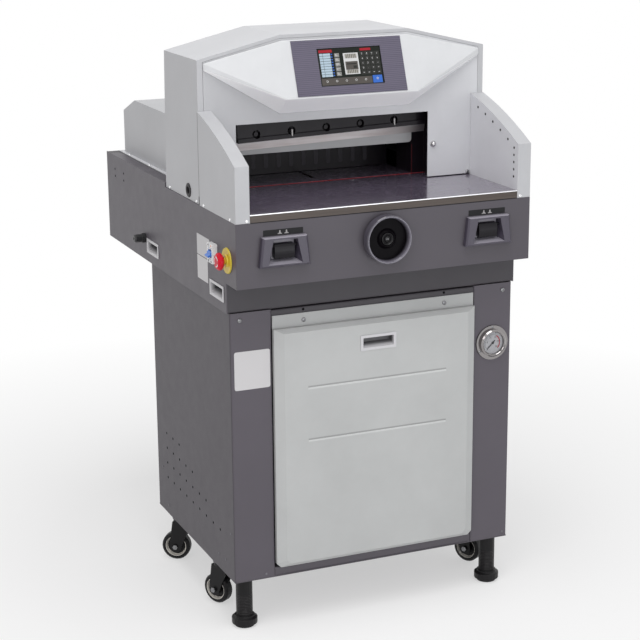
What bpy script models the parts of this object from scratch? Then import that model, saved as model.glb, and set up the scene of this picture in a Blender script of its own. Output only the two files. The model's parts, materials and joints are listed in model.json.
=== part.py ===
"""Stack paper cutter on a stand: a hydraulic guillotine with a programmable backgauge.

The part is a tree of separate sheet-metal, cast, turned and moulded pieces. Everything is written
in metres in the machine's own frame: X to the right, Y from the fascia's front face to the back,
Z up from the floor. One empty carries that frame, so that the finished object stands with the
middle of its footprint on the world origin.
"""
import math

import bmesh
import bpy
from mathutils import Euler, Vector

# Overall sizes
MACHINE_WIDTH = 0.740
BODY_DEPTH = 0.990
STAND_BOTTOM_Z = 0.125
STAND_HEIGHT = 0.660
BODY_HEIGHT = 0.239
TABLE_THICKNESS = 0.018
HOOD_RISE = 0.364
HOOD_FRONT_Y = 0.239

# Clearances and sheet thicknesses
SEAT = 0.0003
SHEET = 0.002
BODY_SHEET = 0.0025
BEND_RADIUS = 0.0015
OVERRUN = 0.010
SINK = 0.001
MERGE_DISTANCE = 0.00001

# Stand
STAND_INSET = 0.006
STAND_FRONT_Y = 0.0685
STAND_DEPTH = 0.5735
PILLAR_WIDTH = 0.102
PILLAR_RETURN = 0.045
REAR_RETURN = 0.032
RAIL_HEIGHT = 0.048
RAIL_DEPTH = 0.030
RAIL_TOP_GAP = 0.002
BASE_LIP_HEIGHT = 0.023
VENT_SIZE = 0.005
VENT_PITCH_Y = 0.0493
VENT_PITCH_Z = 0.0403
VENT_REAR_MARGIN = 0.082
VENT_BOTTOM_RISE = 0.102
VENT_ROW_COUNTS = (9, 7, 5, 3)

# Front cover
COVER_SIDE_GAP = 0.002
COVER_BOTTOM_RISE = 0.025
COVER_TOP_DROP = 0.016
COVER_FLANGE_HEIGHT = 0.031
COVER_STAND_OFF = 0.0185
COVER_SIDE_BEVEL = 0.022
COVER_END_BEVEL = 0.010
COVER_CORNER = 0.010
COVER_WALL = 0.002
CREASE_MARGIN = 0.080
CREASE_WIDTH = 0.004
CREASE_DEPTH = 0.0009
CREASE_RISE_SHARES = (0.7076, 0.5121)
COVER_PULL_DROP = 0.086

# Levelling feet
FOOT_MARGIN = 0.035
FOOT_SETBACK = 0.036
FOOT_POST_RADIUS = 0.020
FOOT_POST_TOP_RISE = 0.050
FOOT_PAD_RADIUS = 0.031
FOOT_PAD_HEIGHT = 0.028
FOOT_NECK_RADIUS = 0.024
FOOT_BOSS_WALL = 0.006
FOOT_BOSS_HEIGHT = 0.026

# Casters
CASTER_WHEEL_RADIUS = 0.0375
CASTER_WHEEL_WIDTH = 0.024
CASTER_RIM_RADIUS = 0.0265
CASTER_HUB_RADIUS = 0.0125
CASTER_AXLE_RADIUS = 0.0045
CASTER_WEB = 0.008
CASTER_TREAD_ROUND = 0.004
CASTER_RIM_STEP = 0.002
CASTER_TRAIL = 0.014
CASTER_FRONT_LIFT = 0.0015
CASTER_SIDE_MARGIN = 0.029
CASTER_FRONT_MARGIN = 0.1705
CASTER_REAR_MARGIN = 0.0925
CASTER_PLATE_SIZE = 0.054
CASTER_PLATE_THICKNESS = 0.003
CASTER_RACE_RADIUS = 0.023
CASTER_RACE_HEIGHT = 0.009
CASTER_CROWN_RADIUS = 0.021
CASTER_CROWN_HEIGHT = 0.008
CASTER_CHEEK = 0.003
CASTER_CHEEK_GAP = 0.002
CASTER_CHEEK_TOP_HALF = 0.021
CASTER_CHEEK_FOOT_RADIUS = 0.016
CASTER_BOLT_RADIUS = 0.006
CASTER_BOLT_HEAD = 0.004
CASTER_HEADINGS_DEG = {"front_left": -59.0, "front_right": 120.0, "rear_left": -33.0, "rear_right": -24.0}

# Hydraulic unit in the stand
TANK_WIDTH = 0.400
TANK_DEPTH = 0.300
TANK_HEIGHT = 0.260
TANK_SETBACK = 0.170
TANK_LID = 0.012
TANK_LID_LIP = 0.010
PUMP_MOTOR_RADIUS = 0.065
PUMP_MOTOR_HEIGHT = 0.190
PUMP_MOTOR_SHIFT = 0.080
PUMP_COWL_HEIGHT = 0.040
VALVE_BLOCK_SIZE = 0.090

# Machine body
FASCIA_HEIGHT = 0.149
FASCIA_DEPTH = 0.070
FASCIA_TOP_RETURN = 0.020
REAR_DECK_RISE = 0.0116
SIDE_FLANGE = 0.038
DECK_START_GAP = 0.002
REAR_FLANGE = 0.034
FASCIA_CENTRE_X = -0.001

# Flush pulls
PULL_LENGTH = 0.092
PULL_HEIGHT = 0.037
PULL_RIM = 0.0015
PULL_RIM_WIDTH = 0.005
PULL_CUP_DEPTH = 0.020
PULL_WALL = 0.0015
PULL_FLOOR_TAPER = 0.008
SIDE_PULL_RISE = 0.0425
SIDE_PULL_FRONT_Y = 0.1305
SIDE_PULL_REAR_Y = 0.6055

# Cable gland
GLAND_Y = 0.668
GLAND_RISE = 0.058
GLAND_NUT_RADIUS = 0.0125
GLAND_NUT_LENGTH = 0.010
GLAND_DOME_RADIUS = 0.0105
GLAND_REACH = 0.030
GLAND_BORE_RADIUS = 0.004
GLAND_STUB_RADIUS = 0.008
GLAND_STUB_LENGTH = 0.012

# Circuit breaker on the left side
BREAKER_Y = 0.140
BREAKER_DROP = 0.110
BREAKER_LENGTH = 0.036
BREAKER_HEIGHT = 0.045
BREAKER_REACH = 0.012
BREAKER_WELL_LENGTH = 0.024
BREAKER_WELL_HEIGHT = 0.020
BREAKER_WELL_DEPTH = 0.009
TOGGLE_DRUM_RADIUS = 0.006
TOGGLE_LEVER_LENGTH = 0.013
TOGGLE_LEVER_THICKNESS = 0.004
TOGGLE_SIDE_GAP = 0.001
TOGGLE_REST_DEG = 30.0

# Emergency stop on the left side
ESTOP_Y = 0.057
ESTOP_DROP = 0.111
ESTOP_PLATE_RADIUS = 0.030
ESTOP_PLATE_THICKNESS = 0.003
ESTOP_COLLAR_RADIUS = 0.015
ESTOP_COLLAR_HEIGHT = 0.003
ESTOP_STEM_RADIUS = 0.0075
ESTOP_STEM_INNER = 0.014
ESTOP_HEAD_RADIUS = 0.020
ESTOP_HEAD_THICKNESS = 0.015
ESTOP_REACH = 0.027
ESTOP_SOCKET_DEPTH = 0.008
ESTOP_ROUNDING = 0.005

# Cut paddles on the fascia
PADDLE_MARGIN = 0.1135
PADDLE_HOUSING_DROP = 0.0865
PADDLE_HOUSING_HEIGHT = 0.068
PADDLE_HOUSING_TOP_WIDTH = 0.107
PADDLE_HOUSING_BOTTOM_WIDTH = 0.122
PADDLE_HOUSING_REACH = 0.015
PADDLE_HOUSING_BEVEL = 0.004
PADDLE_WINDOW_TOP_WIDTH = 0.058
PADDLE_WINDOW_BOTTOM_WIDTH = 0.082
PADDLE_WINDOW_HEIGHT = 0.056
PADDLE_WELL_WIDTH = 0.056
PADDLE_WELL_HEIGHT = 0.046
PADDLE_WELL_BACK = 0.012
PADDLE_WELL_WALL = 0.003
PADDLE_WIDTH = 0.048
PADDLE_HEIGHT = 0.032
PADDLE_THICKNESS = 0.007
PADDLE_BELLY = 0.003
PADDLE_PIN_RADIUS = 0.0025
PADDLE_PIN_LENGTH = 0.064
PADDLE_RISE = 0.003
PADDLE_SETBACK = 0.003

# Fine-adjustment handwheel on the fascia
HANDWHEEL_SHIFT = -0.006
HANDWHEEL_DROP = 0.0815
HANDWHEEL_RADIUS = 0.0565
HANDWHEEL_LIP = 0.006
HANDWHEEL_REACH = 0.028
HANDWHEEL_BACK_GAP = 0.002
HANDWHEEL_FLOOR = 0.006
HANDWHEEL_DISH_TAPER = 0.003
HANDWHEEL_HUB_RADIUS = 0.021
HANDWHEEL_HUB_RISE = 0.007
HANDWHEEL_HUB_DISH = 0.003
HANDWHEEL_SHAFT_RADIUS = 0.010
HANDWHEEL_SHAFT_LENGTH = 0.030

# Pressure gauge on the right pillar
GAUGE_MARGIN = 0.0515
GAUGE_DROP = 0.1465
GAUGE_FLANGE_RADIUS = 0.044
GAUGE_FLANGE = 0.003
GAUGE_BEZEL_RADIUS = 0.034
GAUGE_BEZEL_HEIGHT = 0.013
GAUGE_DIAL_RADIUS = 0.028
GAUGE_DIAL_HEIGHT = 0.005
GAUGE_CAN_RADIUS = 0.029
GAUGE_CAN_LENGTH = 0.026
GAUGE_GLASS = 0.0015
GAUGE_GLASS_DROP = 0.0015
NEEDLE_LENGTH = 0.022
NEEDLE_TAIL = 0.008
NEEDLE_HALF_WIDTH = 0.0012
NEEDLE_THICKNESS = 0.001
NEEDLE_HUB_RADIUS = 0.003
NEEDLE_REST_DEG = -135.0

# Throat, columns and table
THROAT_LEFT_MARGIN = 0.094
THROAT_RIGHT_MARGIN = 0.150
THROAT_HEIGHT = 0.162
COLUMN_FRONT_Y = 0.262
COLUMN_REAR_Y = 0.400
COLUMN_RISE = 0.301
COLUMN_LEFT_REST = 0.015
COLUMN_RIGHT_REST = 0.027
GUIDE_LEFT_REST = 0.004
GUIDE_RIGHT_REST = 0.007
GUIDE_STEP_Y = 0.316
TABLE_REAR_MARGIN = 0.055
STICK_WIDTH = 0.010
STICK_DEPTH = 0.010
STICK_REAR_SHARE = 0.5
TABLE_SLOT_WIDTH = 0.010

# Knife, carrier and guide beam
CUT_PLANE_Y = 0.308
KNIFE_THICKNESS = 0.010
KNIFE_HEIGHT = 0.095
KNIFE_BEVEL_HEIGHT = 0.024
KNIFE_EDGE_LAND = 0.0005
KNIFE_LEFT_REST = 0.013
KNIFE_RIGHT_REST = 0.018
KNIFE_TILT_DEG = 1.7
KNIFE_PIN_INSET = 0.113
KNIFE_PIN_RISE = 0.276
KNIFE_EDGE_BELOW_PIN = 0.1844
KNIFE_SIDE_TRAVEL = 0.020
KNIFE_FACE_REVEAL = 0.024
CARRIER_LIP = 0.026
CARRIER_CAP = 0.018
CARRIER_STEP = 0.005
CARRIER_STEP_HEIGHT = 0.010
CARRIER_PIN_INSET = 0.113
CARRIER_POCKET_RADIUS = 0.010
CARRIER_POCKET_DEPTH = 0.012
CARRIER_POCKET_RISE = 0.017
CARRIER_BOLT_RADIUS = 0.006
CARRIER_BOLT_SINK = 0.003
CARRIER_POCKET_FIRST = 0.048
CARRIER_POCKET_LAST = 0.095
CARRIER_POCKET_COUNT = 5
ADJUSTER_RADIUS = 0.0032
ADJUSTER_LENGTH = 0.026
ADJUSTER_POCKETS = (1, 4)
GUIDE_BEAM_FRONT_Y = 0.246
GUIDE_BEAM_THICKNESS = 0.0235
GUIDE_BEAM_RISE = 0.168
GUIDE_SHOE_RADIUS = 0.011
GUIDE_SHOE_PIN_RADIUS = 0.006
GUIDE_SHOE_PIN_LENGTH = 0.016
GUIDE_SLOT_SIDE_GAP = 0.001

# Clamp
CLAMP_OPENING = 0.078
CLAMP_HEIGHT = 0.090
CLAMP_THICKNESS = 0.038
CLAMP_FRONT_GAP = 0.001
CLAMP_END_GAP = 0.003
CLAMP_CORNER = 0.008
CLAMP_ROD_RADIUS = 0.010
CLAMP_ROD_RISE = 0.100
CLAMP_ROD_INSET = 0.060

# Backgauge and its leadscrew
BACKGAUGE_FACE_Y = 0.450
BACKGAUGE_THICKNESS = 0.024
BACKGAUGE_LIFT = 0.0008
BACKGAUGE_HEIGHT = 0.076
BACKGAUGE_END_GAP = 0.004
BACKGAUGE_SLOT_COUNT = 13
BACKGAUGE_SLOT_WIDTH = 0.011
BACKGAUGE_SLOT_DEPTH = 0.008
BACKGAUGE_SLOT_FLOOR = 0.019
BACKGAUGE_SLOT_FIRST = 0.022
BACKGAUGE_SLOT_LAST = 0.061
BACKGAUGE_FOOT_DEPTH = 0.040
BACKGAUGE_FOOT_HEIGHT = 0.014
BACKGAUGE_FIN_WIDTH = 0.008
BACKGAUGE_FORWARD = 0.095
BACKGAUGE_REAR_MARGIN = 0.140
NUT_WIDTH = 0.040
NUT_HEIGHT = 0.040
SCREW_DROP = 0.049
SCREW_RADIUS = 0.008
SCREW_FRONT_Y = 0.310
SCREW_PULLEY_RADIUS = 0.022
SCREW_PULLEY_LENGTH = 0.014
CRADLE_WIDTH = 0.080
PEDESTAL_THICKNESS = 0.014
PEDESTAL_FRONT_Y = 0.334
PEDESTAL_REAR_MARGIN = 0.090
CRADLE_THICKNESS = 0.004

# Hood
HOOD_INSET = 0.002
HOOD_DEPTH = 0.249
HOOD_LEAN = 0.017
HOOD_SHOULDER_DROP = 0.048
HOOD_TOP_HALF = 0.165
HOOD_FLANGE = 0.014
HOOD_TOP_FLANGE = 0.008
HOOD_PORT_RADIUS = 0.0145
HOOD_PORT_Y = 0.318
HOOD_PORT_RISE = 0.022
FRONT_PLATE_RISE = 0.002
FRONT_PLATE_SEAM = 0.0006
HOOD_EXIT_HEIGHT = 0.162

# Rear housing over the backgauge
HOUSING_MARGIN = 0.040
HOUSING_REAR_MARGIN = 0.039
HOUSING_HEIGHT = 0.152
HOUSING_CHAMFER_RUN = 0.100
HOUSING_CHAMFER_DROP = 0.038
HOUSING_FOOT = 0.010
HOUSING_FOOT_REAR = 0.024

# Safety wings beside the table
WING_WIDTH = 0.034
WING_FRONT_HEIGHT = 0.127
WING_REAR_HEIGHT = 0.2175
WING_ARC_RADIUS = 1.000
WING_ARC_STEPS = 6
BEAM_HOLE_RADIUS = 0.003
BEAM_HOLE_MARGIN = 0.0195
BEAM_HOLE_TOP_DROP = 0.011
BEAM_HOLE_ROW_START = 0.050
BEAM_HOLE_PITCH_Y = 0.0375
BEAM_HOLE_PITCH_Z = 0.017
BEAM_HOLE_ROW = 5
BEAM_HOLE_COLUMN = 5

# Console fairing, bezel and touch screen
CONSOLE_BASE_HALF = 0.167
CONSOLE_BASE_RISE = 0.1814
CONSOLE_FACE_BOTTOM_HALF = 0.170
CONSOLE_FACE_RISE = 0.2215
CONSOLE_FACE_TOP_HALF = 0.160
CONSOLE_FACE_TOP_DROP = 0.013
CONSOLE_REACH = 0.052
CONSOLE_TOP_REACH = 0.004
CONSOLE_TIP_REACH = 0.005
CONSOLE_TIP_INSET = 0.0165
CONSOLE_TIP_RISE = 0.293
CONSOLE_TIP_HEIGHT = 0.015
CONSOLE_ROUNDING = 0.003
BEZEL_WIDTH = 0.280
BEZEL_HEIGHT = 0.132
BEZEL_THICKNESS = 0.0015
SCREEN_WIDTH = 0.166
SCREEN_HEIGHT = 0.094
SCREEN_THICKNESS = 0.008
SCREEN_SHIFT = 0.003
SCREEN_FRAME = 0.002
SCREEN_DROP = 0.0005

# Levels and planes worked out from the sizes above
HALF_WIDTH = MACHINE_WIDTH / 2
STAND_TOP_Z = STAND_BOTTOM_Z + STAND_HEIGHT
STAND_HALF = HALF_WIDTH - STAND_INSET
STAND_REAR_Y = STAND_FRONT_Y + STAND_DEPTH
FOOT_X = STAND_HALF - FOOT_MARGIN
GAUGE_X = STAND_HALF - GAUGE_MARGIN
GAUGE_Z = STAND_TOP_Z - GAUGE_DROP
PILLAR_INNER_X = STAND_HALF - PILLAR_WIDTH
STAND_SHEET_BOTTOM_Z = STAND_BOTTOM_Z + SHEET + SEAT
LIP_FRONT_Y = STAND_FRONT_Y + SHEET + SEAT
BODY_BOTTOM_Z = STAND_TOP_Z + SEAT
BODY_FLOOR_Z = BODY_BOTTOM_Z + BODY_SHEET
TABLE_TOP_Z = STAND_TOP_Z + BODY_HEIGHT
TABLE_BOTTOM_Z = TABLE_TOP_Z - TABLE_THICKNESS
BODY_TOP_Z = TABLE_BOTTOM_Z - SEAT
DECK_TOP_Z = TABLE_BOTTOM_Z + REAR_DECK_RISE
FASCIA_BOTTOM_Z = TABLE_BOTTOM_Z - FASCIA_HEIGHT
BODY_INNER_HALF = HALF_WIDTH - BODY_SHEET - SEAT
FLANGE_INNER_X = HALF_WIDTH - SIDE_FLANGE
SIDE_PULL_Z = STAND_TOP_Z + SIDE_PULL_RISE
GLAND_Z = STAND_TOP_Z + GLAND_RISE
BREAKER_Z = TABLE_TOP_Z - BREAKER_DROP
ESTOP_Z = TABLE_TOP_Z - ESTOP_DROP
PADDLE_SPACING = 2 * (HALF_WIDTH - PADDLE_MARGIN)
PADDLE_HOUSING_Z = TABLE_TOP_Z - PADDLE_HOUSING_DROP
HANDWHEEL_X = FASCIA_CENTRE_X + HANDWHEEL_SHIFT
HANDWHEEL_Z = TABLE_TOP_Z - HANDWHEEL_DROP
HOOD_HALF = HALF_WIDTH - HOOD_INSET
HOOD_TOP_Z = TABLE_TOP_Z + HOOD_RISE
HOOD_BACK_Y = HOOD_FRONT_Y + HOOD_DEPTH
HOOD_SHOULDER_Z = HOOD_TOP_Z - HOOD_SHOULDER_DROP
DECK_START_Y = HOOD_BACK_Y + DECK_START_GAP
THROAT_LEFT_X = THROAT_LEFT_MARGIN - HALF_WIDTH
THROAT_RIGHT_X = HALF_WIDTH - THROAT_RIGHT_MARGIN
THROAT_TOP_Z = TABLE_TOP_Z + THROAT_HEIGHT
COLUMN_LEFT_X = THROAT_LEFT_X - COLUMN_LEFT_REST
COLUMN_RIGHT_X = THROAT_RIGHT_X + COLUMN_RIGHT_REST
GUIDE_LEFT_X = THROAT_LEFT_X - GUIDE_LEFT_REST
GUIDE_RIGHT_X = THROAT_RIGHT_X - GUIDE_RIGHT_REST
COLUMN_TOP_Z = TABLE_TOP_Z + COLUMN_RISE
SCREW_X = (GUIDE_LEFT_X + GUIDE_RIGHT_X) / 2
SCREW_Z = TABLE_TOP_Z - SCREW_DROP
PEDESTAL_REAR_Y = BODY_DEPTH - PEDESTAL_REAR_MARGIN
WING_INNER_X = HALF_WIDTH - WING_WIDTH
TABLE_FRONT_HALF = WING_INNER_X - SEAT
HOUSING_HALF = HALF_WIDTH - HOUSING_MARGIN
FRAME_SHIFT_X = (max(ESTOP_REACH, GLAND_REACH) - PULL_RIM) / 2
FRAME_SHIFT_Y = (HANDWHEEL_REACH - BODY_DEPTH) / 2

# Finishes: base colour, roughness, metallic
FINISHES = {
    "light_paint": ((0.70, 0.73, 0.74), 0.45, 0.0),
    "cover_paint": ((0.50, 0.53, 0.51), 0.45, 0.0),
    "dark_paint": ((0.115, 0.115, 0.135), 0.50, 0.0),
    "black_paint": ((0.015, 0.014, 0.017), 0.40, 0.0),
    "black_plastic": ((0.020, 0.020, 0.022), 0.45, 0.0),
    "grey_plastic": ((0.11, 0.11, 0.14), 0.45, 0.0),
    "light_plastic": ((0.55, 0.55, 0.58), 0.40, 0.0),
    "bezel": ((0.10, 0.09, 0.13), 0.40, 0.0),
    "screen": ((0.02, 0.03, 0.02), 0.10, 0.0),
    "white_plastic": ((0.70, 0.70, 0.70), 0.40, 0.0),
    "blue_plastic": ((0.06, 0.20, 0.60), 0.35, 0.0),
    "red_plastic": ((0.55, 0.02, 0.04), 0.30, 0.0),
    "yellow_plastic": ((0.75, 0.60, 0.04), 0.40, 0.0),
    "steel": ((0.45, 0.45, 0.47), 0.30, 1.0),
    "blade_steel": ((0.75, 0.70, 0.66), 0.22, 1.0),
    "table_steel": ((0.24, 0.23, 0.26), 0.18, 1.0),
    "chrome": ((0.80, 0.80, 0.80), 0.08, 1.0),
    "rubber": ((0.02, 0.02, 0.02), 0.70, 0.0),
    "glass": ((0.90, 0.92, 0.93), 0.05, 0.0),
    "clamp_paint": ((0.30, 0.33, 0.34), 0.40, 0.0),
}

# Turns that lay a flat outline in each plane of the machine
PLANE_TURNS = {
    "front": (math.pi / 2, 0, 0),
    "side": (math.pi / 2, 0, math.pi / 2),
    "plan": (0, 0, 0),
}
PLANE_NORMALS = {"front": Vector((0, 1, 0)), "side": Vector((1, 0, 0)), "plan": Vector((0, 0, 1))}

# Turns that lay a turned piece's axis along a machine axis
AXIS_TURNS = {
    "up": (0, 0, 0),
    "forward": (math.pi / 2, 0, 0),
    "back": (-math.pi / 2, 0, 0),
    "left": (0, -math.pi / 2, 0),
}


# Scene set-up

def clear_scene():
    """Remove the objects that the scene starts with."""
    for leftover in list(bpy.data.objects):
        bpy.data.objects.remove(leftover)


def new_collection(name):
    collection = bpy.data.collections.new(name)
    bpy.context.scene.collection.children.link(collection)
    return collection


clear_scene()
PARTS = new_collection("stack_paper_cutter")
CUTTERS = new_collection("cutters")


def add_empty(name, location=(0, 0, 0), parent=None, rotation=(0, 0, 0)):
    """Carry a frame: the machine's own, or a joint's axis."""
    empty = bpy.data.objects.new(name, None)
    empty.location = location
    empty.rotation_euler = rotation
    empty.parent = parent
    PARTS.objects.link(empty)
    return empty


MACHINE = add_empty("machine_frame", (FRAME_SHIFT_X, FRAME_SHIFT_Y, 0))


# Outlines

def rectangle(low, high):
    return [(low[0], low[1]), (high[0], low[1]), (high[0], high[1]), (low[0], high[1])]


def arc(centre, radius, start, end, steps):
    """Points on an arc, both ends included; angles in radians."""
    points = []
    for index in range(steps + 1):
        angle = start + (end - start) * index / steps
        points.append((centre[0] + radius * math.cos(angle), centre[1] + radius * math.sin(angle)))
    return points


def circle(centre, radius, steps):
    return arc(centre, radius, 0, 2 * math.pi, steps)[:-1]


def stadium(start, end, radius, steps):
    """A slot outline: two half circles round the ends of a straight path."""
    heading = math.atan2(end[1] - start[1], end[0] - start[0])
    first = arc(start, radius, heading + math.pi / 2, heading + 3 * math.pi / 2, steps)
    second = arc(end, radius, heading - math.pi / 2, heading + math.pi / 2, steps)
    return first + second


def bowed(start, end, rise, steps):
    """Points on a shallow arch between two ends; the rise is to the left of the way there."""
    start, end = Vector(start), Vector(end)
    along = (end - start).normalized()
    left = Vector((-along.y, along.x))
    shares = [index / steps for index in range(steps + 1)]
    return [tuple(start.lerp(end, share) + left * rise * 4 * share * (1 - share)) for share in shares]


def inset(points, distances):
    """Move each edge of a closed counter-clockwise outline inwards by its own distance."""
    count = len(points)
    result = []
    for index in range(count):
        corner = Vector(points[index])
        before = (corner - Vector(points[index - 1])).normalized()
        after = (Vector(points[(index + 1) % count]) - corner).normalized()
        left_before = Vector((-before.y, before.x)) * distances[index - 1]
        left_after = Vector((-after.y, after.x)) * distances[index]
        reach = (left_after - left_before).cross(after) / before.cross(after)
        result.append(tuple(corner + left_before + before * reach))
    return result


def spread_evenly(first, last, count):
    return [first + (last - first) * index / (count - 1) for index in range(count)]


def mirrored(points):
    return [(-point[0], *point[1:]) for point in points]


def rounded(points, radius, steps):
    """Replace each corner of a closed outline by an arc."""
    result = []
    count = len(points)
    for index, point in enumerate(points):
        corner = Vector(point)
        before = Vector(points[index - 1]) - corner
        after = Vector(points[(index + 1) % count]) - corner
        half_angle = before.angle(after) / 2
        reach = radius / math.tan(half_angle)
        bisector = (before.normalized() + after.normalized()).normalized()
        centre = corner + bisector * radius / math.sin(half_angle)
        start = corner + before.normalized() * reach - centre
        end = corner + after.normalized() * reach - centre
        sweep = start.angle_signed(end)
        first = math.atan2(start.y, start.x)
        result += arc(centre, radius, first, first - sweep, steps)
    return result


def bent_sheet(path, thickness, bend_steps=2):
    """Outline of a bent sheet that lies to the right of its outer path."""
    outer = []
    inner = []
    points = [Vector(point) for point in path]
    for index, point in enumerate(points):
        before = (point - points[index - 1]).normalized() if index else None
        after = (points[index + 1] - point).normalized() if index + 1 < len(points) else None
        along = after if before is None else before
        right = Vector((along.y, -along.x))
        if before is None or after is None:
            outer.append(tuple(point))
            inner.append(tuple(point + right * thickness))
            continue
        turn = before.cross(after)
        bend = BEND_RADIUS + thickness if turn < 0 else BEND_RADIUS
        side = right if turn < 0 else -right
        centre = point - before * bend * math.tan(before.angle(after) / 2) + side * bend
        start = math.atan2(-side.y, -side.x)
        sweep = math.copysign(before.angle(after), turn)
        outer += arc(centre, bend, start, start + sweep, bend_steps)
        inner_radius = bend - thickness if turn < 0 else bend + thickness
        inner += arc(centre, inner_radius, start, start + sweep, bend_steps)
    return outer + inner[::-1]


# Building blocks

def finish(obj, name):
    """Give an object a material of its own in one of the finishes."""
    colour, roughness, metallic = FINISHES[name]
    material = bpy.data.materials.new(obj.name + "_finish")
    material.use_nodes = True
    shader = material.node_tree.nodes["Principled BSDF"]
    shader.inputs["Base Color"].default_value = (*colour, 1)
    shader.inputs["Roughness"].default_value = roughness
    shader.inputs["Metallic"].default_value = metallic
    obj.data.materials.append(material)


def add_object(name, mesh, look, parent, location, rotation=(0, 0, 0)):
    """Place a mesh as a part with a finish, or as a cutter when it has none."""
    obj = bpy.data.objects.new(name, mesh)
    obj.location = location
    obj.rotation_euler = rotation
    obj.parent = parent or MACHINE
    if look is None:
        CUTTERS.objects.link(obj)
        obj.hide_render = True
        obj.display_type = "WIRE"
        return obj
    PARTS.objects.link(obj)
    finish(obj, look)
    return obj


def mesh_from(build_mesh, name):
    mesh = bpy.data.meshes.new(name)
    bmesh.ops.remove_doubles(build_mesh, verts=build_mesh.verts, dist=MERGE_DISTANCE)
    bmesh.ops.recalc_face_normals(build_mesh, faces=build_mesh.faces)
    build_mesh.to_mesh(mesh)
    build_mesh.free()
    return mesh


def box(name, low, high, look=None, parent=None):
    """A block between two corners, with its origin in its middle."""
    size = Vector(high) - Vector(low)
    build_mesh = bmesh.new()
    bmesh.ops.create_cube(build_mesh, size=1)
    bmesh.ops.scale(build_mesh, vec=size, verts=build_mesh.verts)
    return add_object(name, mesh_from(build_mesh, name), look, parent, (Vector(low) + Vector(high)) / 2)


def rod(name, axis, centre, length, radius, look=None, parent=None, steps=16):
    """A round bar whose middle is at the centre."""
    build_mesh = bmesh.new()
    bmesh.ops.create_cone(
        build_mesh, cap_ends=True, segments=steps, radius1=radius, radius2=radius, depth=length
    )
    return add_object(name, mesh_from(build_mesh, name), look, parent, centre, AXIS_TURNS[axis])


def plate(name, outlines, plane, start, end, look=None, parent=None):
    """A flat outline, with any holes, given its thickness between two planes."""
    curve = bpy.data.curves.new(name, "CURVE")
    curve.dimensions = "2D"
    curve.fill_mode = "BOTH"
    curve.extrude = abs(end - start) / 2
    for outline in outlines:
        spline = curve.splines.new("POLY")
        spline.points.add(len(outline) - 1)
        spline.use_cyclic_u = True
        for point, place in zip(spline.points, outline):
            point.co = (place[0], place[1], 0, 1)
    guide = bpy.data.objects.new(name + "_outline", curve)
    CUTTERS.objects.link(guide)
    bpy.context.view_layer.update()
    flat = bpy.data.meshes.new_from_object(guide.evaluated_get(bpy.context.evaluated_depsgraph_get()))
    bpy.data.objects.remove(guide)
    build_mesh = bmesh.new()
    build_mesh.from_mesh(flat)
    bpy.data.meshes.remove(flat)
    turn = Euler(PLANE_TURNS[plane]).to_matrix()
    bmesh.ops.rotate(build_mesh, verts=build_mesh.verts, cent=(0, 0, 0), matrix=turn)
    place = PLANE_NORMALS[plane] * (start + end) / 2
    return add_object(name, mesh_from(build_mesh, name), look, parent, place)


def loft(name, rings, look=None, parent=None, location=(0, 0, 0)):
    """A skin through rings with equal numbers of points, closed at both ends."""
    build_mesh = bmesh.new()
    loops = [[build_mesh.verts.new(point) for point in ring] for ring in rings]
    build_mesh.faces.new(loops[0])
    build_mesh.faces.new(loops[-1])
    for lower, upper in zip(loops, loops[1:]):
        for index in range(len(lower)):
            following = (index + 1) % len(lower)
            build_mesh.faces.new((lower[index], lower[following], upper[following], upper[index]))
    return add_object(name, mesh_from(build_mesh, name), look, parent, location)


def turned(name, profile, axis, location, look=None, parent=None, steps=24):
    """Turn a profile of radius and height, listed from the top down its outer side."""
    mesh = bpy.data.meshes.new(name)
    vertices = [(radius, 0, height) for radius, height in profile]
    edges = [(index, index + 1) for index in range(len(profile) - 1)]
    if profile[0][0] > 0:
        edges.append((len(profile) - 1, 0))
    mesh.from_pydata(vertices, edges, [])
    obj = add_object(name, mesh, look, parent, location, AXIS_TURNS[axis])
    screw = obj.modifiers.new("turn", "SCREW")
    screw.steps = steps
    screw.render_steps = steps
    screw.use_merge_vertices = True
    screw.merge_threshold = MERGE_DISTANCE
    screw.use_smooth_shade = False
    return obj


def combine(obj, tools, operation):
    for tool in tools:
        boolean = obj.modifiers.new(tool.name, "BOOLEAN")
        boolean.operation = operation
        boolean.object = tool
    return obj


def cut(obj, *tools):
    return combine(obj, tools, "DIFFERENCE")


def fuse(obj, *tools):
    return combine(obj, tools, "UNION")


def ease(obj, width, segments=1):
    """Take the sharpness off the edges."""
    bevel = obj.modifiers.new("ease", "BEVEL")
    bevel.width = width
    bevel.segments = segments
    bevel.limit_method = "ANGLE"
    return obj


def box_cluster(name, centres, size):
    """Many equal small blocks in one cutter."""
    build_mesh = bmesh.new()
    for centre in centres:
        cube = bmesh.ops.create_cube(build_mesh, size=1)["verts"]
        bmesh.ops.scale(build_mesh, vec=size, verts=cube)
        bmesh.ops.translate(build_mesh, vec=centre, verts=cube)
    return add_object(name, mesh_from(build_mesh, name), None, None, (0, 0, 0))


def rod_cluster(name, axis, centres, length, radius, steps):
    """Many equal round cutters in one object, all along one axis."""
    build_mesh = bmesh.new()
    turn = Euler(AXIS_TURNS[axis]).to_matrix()
    for centre in centres:
        cone = bmesh.ops.create_cone(
            build_mesh, cap_ends=True, segments=steps, radius1=radius, radius2=radius, depth=length
        )["verts"]
        bmesh.ops.rotate(build_mesh, verts=cone, cent=(0, 0, 0), matrix=turn)
        bmesh.ops.translate(build_mesh, vec=centre, verts=cone)
    return add_object(name, mesh_from(build_mesh, name), None, None, (0, 0, 0))


# Stand

SIDES = {"left": -1, "right": 1}


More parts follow.
